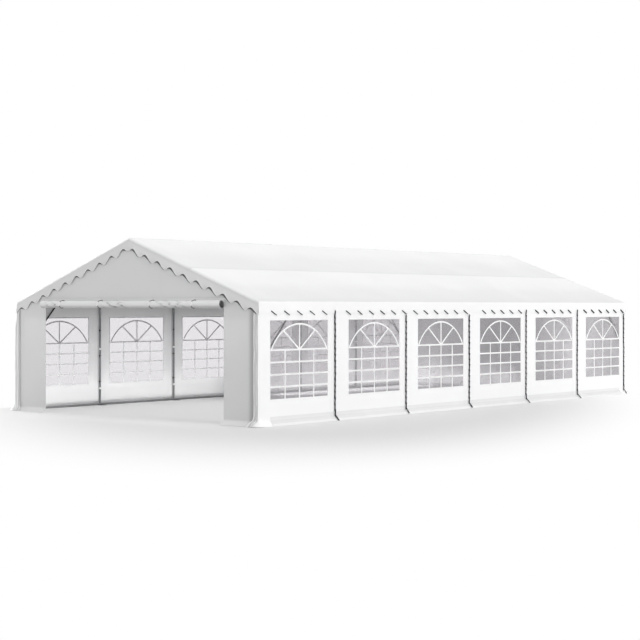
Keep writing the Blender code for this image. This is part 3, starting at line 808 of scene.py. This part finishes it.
for layer, face in ((bars, FILM_X + BAR_THICKNESS), (inner_grid, FILM_X - FILM)):
    layer.data.transform(Matrix(((0, 0, 1, 0), (1, 0, 0, 0), (0, 1, 0, 0), (0, 0, 0, 1))))
    layer.data.transform(Matrix.Translation((face, 0.0, 0.0)))
    thicken_cloth(layer, BAR_THICKNESS)
    dress(layer, bar_white)
select_only(bars, inner_grid)
bpy.ops.object.join()

for panel, side, turn, number, start, end, window in walls:
    lap_width = WINDOW_WIDTH / 2 + FILM_LAP
    across = grid_lines(0.12, window - lap_width, window + lap_width)
    pane = cut_cloth(f"{side}_window_{number}_film", across, grid_lines(0.12, WINDOW_BOTTOM - FILM_LAP, WINDOW_TOP + FILM_LAP))
    hang_cloth(pane, lambda along, up: Vector((FILM_X, along, up)))
    pane.data.transform(Matrix.Rotation(turn, 4, "Z"))
    thicken_cloth(pane, FILM)
    dress(pane, film)
    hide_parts(f"{side}_window_{number}")
    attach(pane, "root")
    own_bars = copy_of(bars, f"{side}_window_{number}_bars")
    own_bars.data.transform(Matrix.Rotation(turn, 4, "Z") @ Matrix.Translation((0.0, window, 0.0)))
    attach(own_bars, "root")
bpy.data.objects.remove(bars)


# The lacing: black cord in a chain of long loops, each pulled through the one below it,
# which closes the seam beside each leg from the eave down on to the ground flap. Five or
# six short loops over each window tie the wall to the hem of the roof.
CORD_RADIUS = 0.0061
LOOP_RADIUS = 0.0062
LOOP_LENGTH = 0.128
LOOP_STEP = 0.104
LACING_TOP = 1.79
LACING_SWAY = 0.0035
TIE_RUN = 0.136
TIE_FALL = 0.070
TIE_TOP = 1.840
TIE_FIRSTS = (0.398, 0.304, 0.232, 0.449, 0.361, 0.272)
TIE_STEP = 0.319
TIE_COUNTS = (5, 6, 6, 5, 5, 6)
TIE_FULLNESS = (0.72, 0.80, 0.88, 0.92, 1.10, 1.25)
TIE_X = HALF_WIDTH + 0.012

cord_black = bpy.data.materials.new("black_lacing_cord")
cord_black.use_nodes = True
tree = cord_black.node_tree
shader = tree.nodes["Principled BSDF"]
place = add_node(tree, "ShaderNodeTexCoord").outputs["Object"]
strands = add_node(
    tree, "ShaderNodeTexWave", {"Vector": place, "Scale": 90.0, "Distortion": 2.0}, bands_direction="DIAGONAL"
)
tones = add_node(tree, "ShaderNodeValToRGB", {"Fac": strands.outputs["Fac"]})
tones.color_ramp.elements[0].color = (0.005, 0.005, 0.006, 1.0)
tones.color_ramp.elements[1].color = (0.016, 0.016, 0.018, 1.0)
braid = add_node(tree, "ShaderNodeBump", {"Strength": 0.6, "Distance": 0.0008, "Height": strands.outputs["Fac"]})
tree.links.new(tones.outputs["Color"], shader.inputs["Base Color"])
tree.links.new(braid.outputs["Normal"], shader.inputs["Normal"])
shader.inputs["Roughness"].default_value = 0.8
shader.inputs["Specular IOR Level"].default_value = 0.08

bpy.ops.object.select_all(action="DESELECT")
bpy.ops.mesh.primitive_torus_add(
    major_radius=LOOP_RADIUS, minor_radius=CORD_RADIUS, major_segments=14, minor_segments=6, location=(0.0, 0.0, 0.0)
)
loop = bpy.context.object
loop.name = "cord_loop"
bpy.ops.object.mode_set(mode="EDIT")
bpy.ops.mesh.select_mode(type="VERT")
bpy.ops.mesh.select_all(action="DESELECT")
bpy.ops.object.mode_set(mode="OBJECT")
for point in loop.data.vertices:
    point.select = point.co.y > 0.0001
bpy.ops.object.mode_set(mode="EDIT")
bpy.ops.transform.translate(value=(0.0, LOOP_LENGTH - 2 * LOOP_RADIUS, 0.0))
bpy.ops.object.mode_set(mode="OBJECT")
smooth_from(loop, 60.0)
dress(loop, cord_black)


def chain_of_loops(name, along, low, high):
    """Loops of cord, one through the next, up a seam of the right wall."""
    links = []
    up = low
    while up + LOOP_LENGTH < high + LOOP_STEP:
        link = copy_of(loop, name)
        lean = 0.012 * (-1) ** len(links)
        link.data.transform(Matrix.Rotation(0.10, 4, "X"))
        link.data.transform(Matrix.Rotation(lean, 4, "Z"))
        link.data.transform(Matrix.Translation((0.0, up, CORD_RADIUS + 0.004)))
        links.append(link)
        up += LOOP_STEP
    select_only(*links)
    if len(links) > 1:
        bpy.ops.object.join()
    chain = links[0]
    chain.name = name
    for point in chain.data.vertices:
        sway = LACING_SWAY * ripple(along, point.co.y, 0.25, 5)
        point.co = on_wall(along + point.co.x + sway, point.co.y, point.co.z)
    return chain


lacing_pieces = {}
for panel, side, turn, number, start, end, window in walls:
    ties = []
    bay = round((window + HALF_LENGTH) / BAY - 0.5)
    for index in range(TIE_COUNTS[bay]):
        tie = copy_of(loop, "tie")
        length = math.hypot(TIE_RUN, TIE_FALL)
        stretch = (length - 2 * CORD_RADIUS) / LOOP_LENGTH
        tie.data.transform(Matrix.Diagonal((TIE_FULLNESS[bay], stretch, TIE_FULLNESS[bay], 1.0)))
        tie.data.transform(Matrix.Rotation(-math.pi / 2 - math.atan2(TIE_FALL, TIE_RUN), 4, "Z"))
        first = window - BAY / 2 - SEAM_BESIDE_LEG + TIE_FIRSTS[bay] + index * TIE_STEP
        tie.data.transform(Matrix(((0, 0, 1, 0), (1, 0, 0, 0), (0, 1, 0, 0), (0, 0, 0, 1))))
        tie.data.transform(Matrix.Translation((TIE_X, first, TIE_TOP)))
        ties.append(tie)
    select_only(*ties)
    bpy.ops.object.join()
    ties[0].name = f"{side}_window_{number}_ties"
    ties[0].data.transform(Matrix.Rotation(turn, 4, "Z"))
    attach(ties[0], "root")
    lacing_pieces[side, number] = [ties[0]]
    seam = min(end, HALF_LENGTH - SEAM_BESIDE_LEG)
    lowest, highest = (0.0, LACING_TOP) if TIE_COUNTS[bay] == 5 else (0.02, LACING_TOP - TIE_FALL)
    chain = chain_of_loops(f"{side}_lacing_{number}", seam, lowest, highest - FLAP_HEIGHT + FLAP_LENGTH)
    chain.data.transform(Matrix.Rotation(turn, 4, "Z"))
    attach(chain, "root")
    lacing_pieces[side, number].append(chain)

for panel, side, turn, number, start, end, window in walls:
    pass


# The wall ties: each leg carries short loops of black elastic with a ball, which hold
# the walls to the steel from inside, and white tabs of the wall that wrap the leg.
BALL_RADIUS = 0.014
BALL_HEIGHTS = (0.459, 0.956, 1.449)
TAB_HEIGHTS = (0.327, 1.090)
TAB_HEIGHT = 0.035
LEG_RADIUS = 0.019

bpy.ops.object.select_all(action="DESELECT")
bpy.ops.mesh.primitive_uv_sphere_add(segments=12, ring_count=8, radius=BALL_RADIUS, location=(0.0, 0.0, 0.0))
ball = bpy.context.object
ball.data.transform(Matrix.Translation((-LEG_RADIUS * 0.8, -LEG_RADIUS - BALL_RADIUS * 0.6, 0.0)))
bpy.ops.object.select_all(action="DESELECT")
bpy.ops.mesh.primitive_torus_add(
    major_radius=LEG_RADIUS + 0.003, minor_radius=0.003, major_segments=20, minor_segments=6, location=(0.0, 0.0, 0.0)
)
elastic = bpy.context.object
for point in elastic.data.vertices:
    if point.co.x > 0:
        point.co.x *= 0.98
select_only(ball, elastic)
bpy.ops.object.join()
smooth_from(ball, 60.0)
dress(ball, cord_black)

bpy.ops.object.select_all(action="DESELECT")
bpy.ops.mesh.primitive_cylinder_add(
    vertices=24, radius=LEG_RADIUS + 0.0015, depth=TAB_HEIGHT, end_fill_type="NOTHING", location=(0.0, 0.0, 0.0)
)
tab = bpy.context.object
thicken_cloth(tab, 0.001)
dress(tab, bar_white)

for number in range(1, BAY_COUNT + 2):
    held = {"ball_ties": (ball, BALL_HEIGHTS), "tabs": (tab, TAB_HEIGHTS)}
    for kind, (master, heights) in held.items():
        rings = []
        for side in (1, -1):
            for height in heights:
                ring = copy_of(master, kind)
                if side == -1:
                    ring.data.transform(Matrix.Scale(-1.0, 4, (1.0, 0.0, 0.0)))
                if number == 1:
                    ring.data.transform(Matrix.Scale(-1.0, 4, (0.0, 1.0, 0.0)))
                if (side == -1) != (number == 1):
                    ring.data.flip_normals()
                ring.data.transform(Matrix.Translation((side * LEG_X, frame_y(number), height)))
                rings.append(ring)
        select_only(*rings)
        bpy.ops.object.join()
        rings[0].name = f"frame_{number}_{kind}"
        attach(rings[0], "root")
bpy.data.objects.remove(ball)
bpy.data.objects.remove(tab)


# The gable sheets: one cloth for each gable, the triangle under the roof with a strip
# down each side of the door, sewn from white coated fabric and ending in ground flaps.
DOOR_LEFT = 0.025 - 4.43 / 2
DOOR_RIGHT = 0.025 + 4.43 / 2
DOOR_TOP = 2.03
GABLE_STEP = 0.07
GABLE_INSET = 0.0043
GABLE_SIDE = HALF_WIDTH - GABLE_INSET
# Painted light: the ground flap of a gable sheet is left lighter than the sheet above it.
GABLE_FOOT = ((0.0, 1.0), (0.115, 1.0), (0.140, 0.91))
# Painted shadow on a gable sheet beside one corner wrap.
SHADE_FROM = 2.76
SHADE_TO = 2.88
RIGHT_SHADE = 0.58
LEFT_SHADE = 1.0


def roof_height(x, below=0.0):
    """Height of the roof plane at x, or of the plane that lies below it."""
    return RIDGE_HEIGHT - math.tan(SLOPE) * abs(x) - below / math.cos(SLOPE)


def gable_shades(tree, parts, slack, place):
    """Painted shadow beside the corner wrap at one side of a gable sheet, and its ground flap painted lighter than the
    sheet above it.
    """
    right = add_node(
        tree,
        "ShaderNodeMapRange",
        {"Value": parts.outputs["X"], "From Min": SHADE_FROM, "From Max": SHADE_TO, "To Min": 1.0, "To Max": RIGHT_SHADE},
        interpolation_type="SMOOTHSTEP",
    )
    left = add_node(
        tree,
        "ShaderNodeMapRange",
        {"Value": parts.outputs["X"], "From Min": -SHADE_FROM, "From Max": -SHADE_TO, "To Min": 1.0, "To Max": LEFT_SHADE},
        interpolation_type="SMOOTHSTEP",
    )
    sides = reckon(tree, "MULTIPLY", right.outputs["Result"], left.outputs["Result"])
    return reckon(tree, "MULTIPLY", sides, shade_along(tree, parts.outputs["Y"], GABLE_FOOT))


def rake(x):
    """The top edge of the gable sheet, up along the cloth from its hem."""
    return roof_height(x, 0.032) - FLAP_HEIGHT + FLAP_LENGTH


gable_fabric = coated_fabric("white_gable_fabric", GABLE_TONE, gable_shades)
trim_fabric = coated_fabric("white_trim_fabric", TRIM_TONE)
door_head = DOOR_TOP - FLAP_HEIGHT + FLAP_LENGTH
gable_rows = wall_rows[:8] + grid_lines(GABLE_STEP, fold_high, door_head)[1:]
gable_rows += [door_head + share / 14 for share in range(1, 15)]
gable_columns = grid_lines(GABLE_STEP, -GABLE_SIDE, DOOR_LEFT, 0.0, DOOR_RIGHT, GABLE_SIDE)
gables = []
for end, turn in (("front", 0.0), ("back", math.pi)):
    gable = cut_cloth(f"{end}_gable_cloth", gable_columns, gable_rows)
    for point in gable.data.vertices:
        level = min(door_head, rake(point.co.x) - 0.04)
        if point.co.y > door_head:
            share = point.co.y - door_head
            point.co.y = level + share * (rake(point.co.x) - level)
        elif point.co.y > fold_high:
            share = (point.co.y - fold_high) / (door_head - fold_high)
            point.co.y = fold_high + share * (level - fold_high)
    cut_away(gable, lambda x, up: DOOR_LEFT < x < DOOR_RIGHT and up < door_head)

    def gable_edge(x, up):
        """How far a point of the gable sheet is from the nearest edge of its cloth."""
        door = max(DOOR_LEFT - x, x - DOOR_RIGHT, up - door_head)
        return max(0.0, min(GABLE_SIDE - abs(x), up, (rake(x) - up) * math.cos(SLOPE), door))

    def hung(x, up):
        """Where the gable sheet hangs, slack in its middle."""
        free = ease(gable_edge(x, up) / 0.12)
        out = 0.003 * free * ripple(x, up, 0.7, 11 if end == "front" else 12)
        foot = 1 - ease(up / (FLAP_LENGTH + 0.06))
        out += 0.005 * foot * ripple(x, up, 0.15, 13)
        reach, height, lean = flap_profile(up)
        reach += out * math.cos(lean)
        return Vector((x, -HALF_LENGTH - reach, max(HEM_LIFT, height + out * math.sin(lean) + HEM_LIFT)))

    mark_cloth(gable, gable_edge)
    hang_cloth(gable, hung)
    gable.data.transform(Matrix.Rotation(turn, 4, "Z"))
    thicken_cloth(gable)
    dress(gable, gable_fabric)
    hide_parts(f"{end}_gable")
    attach(gable, "root")


# The front door curtain: one cloth as wide as the doorway and as high, rolled up from its
# foot into nine turns and held under the gable by four cord loops with toggles. It hangs
# by its top hem, and twists a little where it was rolled unevenly.
# Painted shade: the rolled curtain is the walls' white fabric at a lower tone.
ROLL_TONE = 0.90
ROLL_RADIUS = 0.067
ROLL_CORE = 0.006
ROLL_PITCH = 0.0071
ROLL_HEIGHT = 1.955
ROLL_Y = -HALF_LENGTH - 0.0003 - ROLL_RADIUS
ROLL_LEFT = -2.205
ROLL_RIGHT = 2.255
ROLL_ANGLE_STEP = math.radians(15.0)
OUTER_TURN_STEPS = 72
CURTAIN_TOP = 2.05
TIES_AT = (-1.67, -0.66, 0.63, 1.62)
TWISTED = ((-2.12, -1.70), (-0.62, 0.10), (0.68, 1.58))
CREASE_TURN = 0.12
CREASE_GAPS = (0.24, 0.30, 0.25)


def wound_length(angle):
    """How much cloth lies in the roll, out from this angle of winding to its back."""
    return ROLL_RADIUS * angle - ROLL_PITCH * angle * angle / (4 * math.pi)


def wound_angle(length):
    """The angle of winding after this length of cloth."""
    growth = ROLL_PITCH / (2 * math.pi)
    return (ROLL_RADIUS - math.sqrt(max(0.0, ROLL_RADIUS ** 2 - 2 * growth * length))) / growth


full_angle = (ROLL_RADIUS - ROLL_CORE) * 2 * math.pi / ROLL_PITCH
drop = CURTAIN_TOP - ROLL_HEIGHT
turns = [2 * math.pi * index / OUTER_TURN_STEPS for index in range(1, OUTER_TURN_STEPS + 1)]
turns += [2 * math.pi + index * ROLL_ANGLE_STEP for index in range(1, int(full_angle / ROLL_ANGLE_STEP) - 23)]
curtain_rows = grid_lines(0.03, 0.0, drop) + [drop + wound_length(angle) for angle in turns]
curtain_columns = [ROLL_LEFT]
for low, high in TWISTED:
    curtain_columns += grid_lines(0.07, curtain_columns[-1], low)[1:]
    curtain_columns += grid_lines(0.018, low, high)[1:]
curtain_columns += grid_lines(0.07, curtain_columns[-1], ROLL_RIGHT)[1:]
curtain = cut_cloth("front_door_curtain", curtain_columns, curtain_rows)
mark_cloth(curtain, lambda x, down: min(x - ROLL_LEFT, ROLL_RIGHT - x, down, curtain_rows[-1] - down))


def creased(x, angle):
    """How deep the roll is creased here, from 0 to 1, in the stretches that twist."""
    depth = 0.0
    for (low, high), gap in zip(TWISTED, CREASE_GAPS):
        inside = ease((x - low) / 0.10) * ease((high - x) / 0.10)
        wander = 0.05 * ripple(x, angle, 0.4, 34)
        phase = (x + CREASE_TURN * angle + wander) / gap
        depth = max(depth, inside * (1 - abs(math.sin(math.pi * phase))) ** 1.4)
    return depth


def roll_shades(tree, parts, slack, place):
    """Painted shade on the rolled curtain, in its creases, on its underside and in its inner turns, with painted light
    on the strip above it.
    """
    painted_roll_shade = add_node(tree, "ShaderNodeAttribute", attribute_name="painted_roll_shade").outputs["Fac"]
    return reckon(tree, "SUBTRACT", 1.0, painted_roll_shade)


def rolled(x, down):
    """Where the rolled curtain lies, pinched at its ties and creased where it twists."""
    sag = 0.004 * math.sin(math.pi * min(1.0, max(0.0, (x + 2.25) / 4.5)))
    if down <= drop:
        out = 0.0015 + 0.004 * (down / drop) * abs(ripple(x, down, 0.25, 31))
        return Vector((x, -HALF_LENGTH - out, CURTAIN_TOP - down - sag * down / drop))
    angle = wound_angle(down - drop)
    radius = ROLL_RADIUS - ROLL_PITCH * angle / (2 * math.pi) - 0.001
    outer = max(0.0, 1 - angle / (4 * math.pi))
    radius -= outer * 0.009 * sum(math.exp(-((x - tie) / 0.045) ** 2) for tie in TIES_AT)
    radius += outer * 0.0025 * ripple(x, angle, 0.5, 32)
    radius -= outer * 0.012 * creased(x, angle)
    y = ROLL_Y + radius * math.cos(angle)
    z = ROLL_HEIGHT - sag - radius * math.sin(angle)
    skew = 0.012 * outer * ripple(angle, 0.0, 4.0, 33)
    return Vector((x + skew, y, z))


# Painted shade on the roll: in its creases, on its underside and in its inner turns. The strip above the roll is
# painted lighter.
painted_roll_shade = curtain.data.attributes.new("painted_roll_shade", "FLOAT", "POINT")
for point, mark in zip(curtain.data.vertices, painted_roll_shade.data):
    angle = wound_angle(max(0.0, point.co.y - drop))
    painted_shade = 0.20 * creased(point.co.x, angle) + 0.47 * ease(math.sin(angle) * 1.1)
    mark.value = max(painted_shade, 0.74 * ease((angle - 5.6) / 0.8))
    if point.co.y < drop:
        mark.value = -0.08
hang_cloth(curtain, rolled)
thicken_cloth(curtain, 0.0012)
dress(curtain, coated_fabric("white_rolled_fabric", ROLL_TONE, shades=roll_shades))
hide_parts("front_door_roll")
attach(curtain, "root")

bpy.ops.object.select_all(action="DESELECT")
bpy.ops.mesh.primitive_torus_add(
    major_radius=ROLL_RADIUS - 0.002,
    minor_radius=0.0048,
    major_segments=28,
    minor_segments=6,
    rotation=(0.0, math.pi / 2, 0.0),
)
sling = bpy.context.object
bpy.ops.object.transform_apply(location=True, rotation=True, scale=True)
for point in sling.data.vertices:
    if point.co.y > 0.0 and point.co.z > 0.0:
        point.co.z += 0.035 * point.co.y / ROLL_RADIUS
smooth_from(sling, 60.0)
dress(sling, cord_black)
bpy.ops.object.select_all(action="DESELECT")
bpy.ops.mesh.primitive_cylinder_add(vertices=12, radius=0.014, depth=0.066, rotation=(0.0, 0.25, 0.0))
toggle = bpy.context.object
bpy.ops.object.mode_set(mode="EDIT")
bpy.ops.mesh.select_all(action="SELECT")
bpy.ops.mesh.bevel(offset=0.004, segments=2, affect="EDGES")
bpy.ops.object.mode_set(mode="OBJECT")
bpy.ops.object.transform_apply(location=True, rotation=True, scale=True)
smooth_from(toggle, 50.0)
dress(toggle, bar_white)
for number, x in enumerate(TIES_AT, start=1):
    cord = copy_of(sling, f"door_roll_tie_{number}")
    cord.data.transform(Matrix.Translation((x, ROLL_Y, ROLL_HEIGHT - 0.003)))
    peg = copy_of(toggle, f"door_roll_toggle_{number}")
    peg.data.transform(Matrix.Translation((x + 0.012, ROLL_Y - ROLL_RADIUS - 0.007, ROLL_HEIGHT + 0.008)))
    for tie in (cord, peg):
        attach(tie, "root")
bpy.data.objects.remove(sling)
bpy.data.objects.remove(toggle)


# The back door curtain: the same cloth let down between the strips of the back gable,
# with soft upright folds, and a flap on the ground at its foot.
closed_rows = wall_rows[:8] + grid_lines(0.08, fold_high, door_head)[1:]
closed_columns = grid_lines(0.04, DOOR_LEFT + 0.002, DOOR_RIGHT - 0.002)
closed = cut_cloth("back_door_curtain", closed_columns, closed_rows)
mark_cloth(closed, lambda x, up: min(x - DOOR_LEFT, DOOR_RIGHT - x, up, door_head - up))


def let_down(x, up):
    """Where the closed curtain hangs, in upright folds that fade to its edges."""
    free = ease(min(x - DOOR_LEFT, DOOR_RIGHT - x) / 0.15) * ease((door_head - up) / 0.3)
    out = free * 0.010 * ripple(x * 1.6, up * 0.15, 0.3, 41) + 0.003 * free * ripple(x, up, 0.5, 42)
    reach, height, lean = flap_profile(up)
    reach += (out + 0.004) * math.cos(lean)
    return Vector((x, -HALF_LENGTH - reach, height + HEM_LIFT))


hang_cloth(closed, let_down)
closed.data.transform(Matrix.Rotation(math.pi, 4, "Z"))
thicken_cloth(closed)
dress(closed, gable_fabric)
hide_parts("back_door")
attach(closed, "root")


# The roof cover: one cloth over the five purlins, sewn from strips of coated fabric. It
# sags between purlins and frames, rounds over the eaves and ends in a straight drop.
ROOF_OUT_X = 3.0043
ROOF_OUT_Y = 6.0043
EAVE_DROP = 0.20
ROOF_SAG = 0.064
RAFTER_SAG = 0.42
EAVE_ROUND = 0.030
RIDGE_ROUND = 0.035
EDGE_ROUND = 0.040
CREASE = 0.012
ROOF_STEP = 0.075
slope_length = ROOF_OUT_X / math.cos(SLOPE)
drop_length = roof_height(ROOF_OUT_X) - SIDE_HEIGHT + EAVE_DROP
half_cover = slope_length + drop_length
purlin_reach = MIDDLE_PURLIN_X / math.cos(SLOPE)

half_lines = [RIDGE_ROUND * share for share in (0.33, 0.66, 1.0)]
half_lines += grid_lines(
    ROOF_STEP, RIDGE_ROUND, purlin_reach - CREASE, purlin_reach, purlin_reach + CREASE, slope_length - EAVE_ROUND
)[1:]
half_lines += [slope_length + EAVE_ROUND * share for share in (-0.6, -0.2, 0.2, 0.6, 1.0)]
half_lines += grid_lines(0.04, slope_length + EAVE_ROUND, half_cover)[1:]
cover_across = [-place for place in reversed(half_lines)] + [0.0] + half_lines
edge_lines = [ROOF_OUT_Y - EDGE_ROUND * share for share in (1.0, 0.75, 0.5, 0.3, 0.15, 0.05, 0.0)]
bay_marks = [index * BAY - HALF_LENGTH for index in range(1, BAY_COUNT)]
cover_along = [-place for place in reversed(edge_lines)]
cover_along += grid_lines(ROOF_STEP, cover_along[-1], *bay_marks, edge_lines[0])[1:]
cover_along += edge_lines[1:]


def drape_roof(across, along):
    """Where the roof cover lies, across its slope from the ridge and along the tent."""
    side = math.copysign(1.0, across)
    down = abs(across)
    if down < slope_length:
        x = down * math.cos(SLOPE)
        z = RIDGE_HEIGHT - down * math.sin(SLOPE)
    else:
        x = ROOF_OUT_X
        z = roof_height(ROOF_OUT_X) - (down - slope_length)
    near_eave = EAVE_ROUND - abs(down - slope_length)
    if near_eave > 0:
        cut = near_eave ** 2 / (4 * EAVE_ROUND)
        x -= cut * (1 - math.sin(SLOPE)) * 0.9
        z -= cut * 0.5
    if down < RIDGE_ROUND:
        z -= (RIDGE_ROUND - down) ** 2 / (2 * RIDGE_ROUND) * math.sin(SLOPE)
    span = down / purlin_reach if down < purlin_reach else (down - purlin_reach) / (slope_length - purlin_reach)
    hang = 4 * span * (1 - span) if 0 < span < 1 else 0.0
    bay = (along + HALF_LENGTH) / BAY % 1.0
    from_end = ROOF_OUT_Y - abs(along)
    slack = ease(from_end / 0.7) * (RAFTER_SAG + (1 - RAFTER_SAG) * 4 * bay * (1 - bay))
    slack *= 1 + 0.06 * ripple(across, along, 1.1, 51)
    z -= ROOF_SAG * hang * slack
    if down > slope_length:
        loose = ease((down - slope_length) / EAVE_DROP)
        x += 0.003 * loose * (1 + ripple(along, down, 0.4, 52))
    if from_end < EDGE_ROUND:
        fall = EDGE_ROUND - from_end
        z -= EDGE_ROUND - math.sqrt(max(0.0, EDGE_ROUND ** 2 - fall ** 2))
    return Vector((side * x, along, z))


def roof_shades(tree, parts, slack, place):
    """Painted shade on the slopes, darkest just above each purlin and the eave, and painted light below the ridge,
    below each purlin and on the eave drop.
    """
    stops = (
        (0.0, 0.965),
        (0.10 * half_cover, 0.965),
        (0.22 * half_cover, 0.915),
        (purlin_reach - 0.12, 0.91),
        (purlin_reach - 0.05, 0.86),
        (purlin_reach - 0.01, 0.83),
        (purlin_reach + 0.01, 0.965),
        (purlin_reach + 0.50, 0.955),
        (purlin_reach + 0.80, 0.915),
        (slope_length - 0.20, 0.90),
        (slope_length - 0.05, 0.86),
        (slope_length - 0.01, 0.85),
        (slope_length + 0.01, 1.0),
    )
    return shade_along(tree, reckon(tree, "ABSOLUTE", parts.outputs["X"]), stops)


roof_fabric = coated_fabric("white_roof_fabric", ROOF_TONE, roof_shades)
cover = cut_cloth("roof_cover_cloth", cover_across, cover_along)
mark_cloth(cover, lambda across, along: min(half_cover - abs(across), ROOF_OUT_Y - abs(along)))
hang_cloth(cover, drape_roof)
thicken_cloth(cover)
dress(cover, roof_fabric)
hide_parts("roof_cover")
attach(cover, "root")


# The valances: a scalloped strip of the same fabric sewn under each front and back edge
# of the roof. It stands a little off the gable at its foot, where a bound rim stiffens it.
NOTCH_DEPTH = 0.148
LOBE_WIDTH = 0.304
LOBE_DEPTH = 0.088
RIDGE_LOBE_DEPTH = 0.076
FIRST_NOTCH = 0.13
NOTCHES_EACH_SIDE = 10
LOBE_FULLNESS = 1.0
VALANCE_COLUMNS = 360
VALANCE_ROWS = 8
VALANCE_STAND = 0.024
RAKE_DROP = EDGE_ROUND - 0.004
RIM_RADIUS = 0.0034
# Painted shadow: a near-black sheet behind the wavy edge, set left of it and deepest under the notches, stands for the
# valance's shadow on the gable.
SHADOW_LEFT = 0.026
SHADOW_DROP = 0.003
SHADOW_NOTCH_DROP = 0.026
SHADOW_HEIGHT = 0.05
SHADOW_TONES = ((0.085, 0.085, 0.090), (0.120, 0.120, 0.126))


def scallop_depth(x):
    """How far the wavy lower edge of the valance lies below the roof plane at x."""
    along = abs(x)
    start = -FIRST_NOTCH
    width = 2 * FIRST_NOTCH
    depth = RIDGE_LOBE_DEPTH
    if along > FIRST_NOTCH:
        number = int((along - FIRST_NOTCH) / LOBE_WIDTH)
        start = FIRST_NOTCH + number * LOBE_WIDTH
        width = LOBE_WIDTH
        depth = LOBE_DEPTH if number < NOTCHES_EACH_SIDE - 1 else EAVE_DROP - NOTCH_DEPTH
    swing = (1 - math.cos(2 * math.pi * (along - start) / width)) / 2
    return NOTCH_DEPTH + depth * swing ** LOBE_FULLNESS


def valance_face(x, depth, share):
    """How far along the tent the face of the front valance lies at this depth."""
    stand = VALANCE_STAND * ease(depth / 0.20) + 0.003 * ripple(x, depth, 0.35, 61) * share
    return -ROOF_OUT_Y + 0.0005 - max(0.0, stand)


def on_valance(x, share):
    """A point of the front valance, this share of its depth down from the roof."""
    depth = scallop_depth(x) * share
    top = roof_height(x) - RAKE_DROP * (1 - share)
    return Vector((x, valance_face(x, depth, share), top - depth))


def on_shadow_sheet(x, share):
    """A point of the dark sheet that stands for the valance's painted shadow, from its lower edge up."""
    notch = ease(1 - (scallop_depth(x) - NOTCH_DEPTH) / (LOBE_DEPTH * 0.8))
    z = on_valance(x, 1.0).z - SHADOW_DROP - SHADOW_NOTCH_DROP * notch + SHADOW_HEIGHT * share
    x = max(-HALF_WIDTH, min(HALF_WIDTH, x - SHADOW_LEFT))
    deepest = scallop_depth(x)
    part = max(0.0, (roof_height(x) - z - RAKE_DROP) / (deepest - RAKE_DROP))
    return Vector((x, valance_face(x, deepest * part, min(1.0, part)) + CLOTH + 0.002, z))


# The near-black colour of the valance's painted shadow.
shadow_sheet_grey = bpy.data.materials.new("painted_valance_shadow")
shadow_sheet_grey.use_nodes = True
tree = shadow_sheet_grey.node_tree
shader = tree.nodes["Principled BSDF"]
place = add_node(tree, "ShaderNodeTexCoord").outputs["Object"]
shadow_mottle = add_node(tree, "ShaderNodeTexNoise", {"Vector": place, "Scale": 180.0, "Detail": 2.0})
tones = add_node(tree, "ShaderNodeValToRGB", {"Fac": shadow_mottle.outputs["Fac"]})
tones.color_ramp.elements[0].color = (*SHADOW_TONES[0], 1.0)
tones.color_ramp.elements[1].color = (*SHADOW_TONES[1], 1.0)
fine = add_node(tree, "ShaderNodeBump", {"Strength": 0.3, "Distance": 0.0004, "Height": shadow_mottle.outputs["Fac"]})
tree.links.new(tones.outputs["Color"], shader.inputs["Base Color"])
tree.links.new(fine.outputs["Normal"], shader.inputs["Normal"])
shader.inputs["Roughness"].default_value = 0.7

valance_across = [HALF_WIDTH * (2 * index / VALANCE_COLUMNS - 1) for index in range(VALANCE_COLUMNS + 1)]
valance_up = [index / VALANCE_ROWS for index in range(VALANCE_ROWS + 1)]
for end, turn in (("front", 0.0), ("back", math.pi)):
    valance = cut_cloth(f"{end}_valance_cloth", valance_across, valance_up)
    mark_cloth(valance, lambda x, share: min(share, 1 - share) * scallop_depth(x) * math.cos(SLOPE))
    hang_cloth(valance, lambda x, share: on_valance(x, 1 - share))
    valance.data.transform(Matrix.Rotation(turn, 4, "Z"))
    thicken_cloth(valance)
    dress(valance, trim_fabric)
    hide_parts(f"{end}_valance")
    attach(valance, "root")

    line = bpy.data.curves.new(f"{end}_valance_rim", "CURVE")
    line.dimensions = "3D"
    line.bevel_depth = RIM_RADIUS
    line.bevel_resolution = 1
    line.use_fill_caps = True
    run = line.splines.new("POLY")
    run.points.add(VALANCE_COLUMNS)
    for point, x in zip(run.points, valance_across):
        point.co = (*on_valance(x, 1.0), 1.0)
    drawn = bpy.data.objects.new(f"{end}_valance_rim_line", line)
    bpy.context.scene.collection.objects.link(drawn)
    bpy.context.view_layer.update()
    evaluated = drawn.evaluated_get(bpy.context.evaluated_depsgraph_get())
    rim_mesh = bpy.data.meshes.new_from_object(evaluated)
    bpy.data.objects.remove(drawn)
    piping = bpy.data.objects.new(f"{end}_valance_rim", rim_mesh)
    bpy.context.scene.collection.objects.link(piping)
    piping.data.transform(Matrix.Rotation(turn, 4, "Z"))
    smooth_from(piping, 60.0)
    dress(piping, bar_white)
    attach(piping, "root")
    # The painted shadow of the valance, a dark sheet behind its wavy edge.
    shadow_sheet = cut_cloth(f"{end}_valance_painted_shadow", valance_across, [0.0, 0.25, 0.5, 0.75, 1.0])
    hang_cloth(shadow_sheet, on_shadow_sheet)
    shadow_sheet.data.transform(Matrix.Rotation(turn, 4, "Z"))
    thicken_cloth(shadow_sheet, 0.001)
    dress(shadow_sheet, shadow_sheet_grey)
    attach(shadow_sheet, "root")
bpy.data.objects.remove(loop)


low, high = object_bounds()
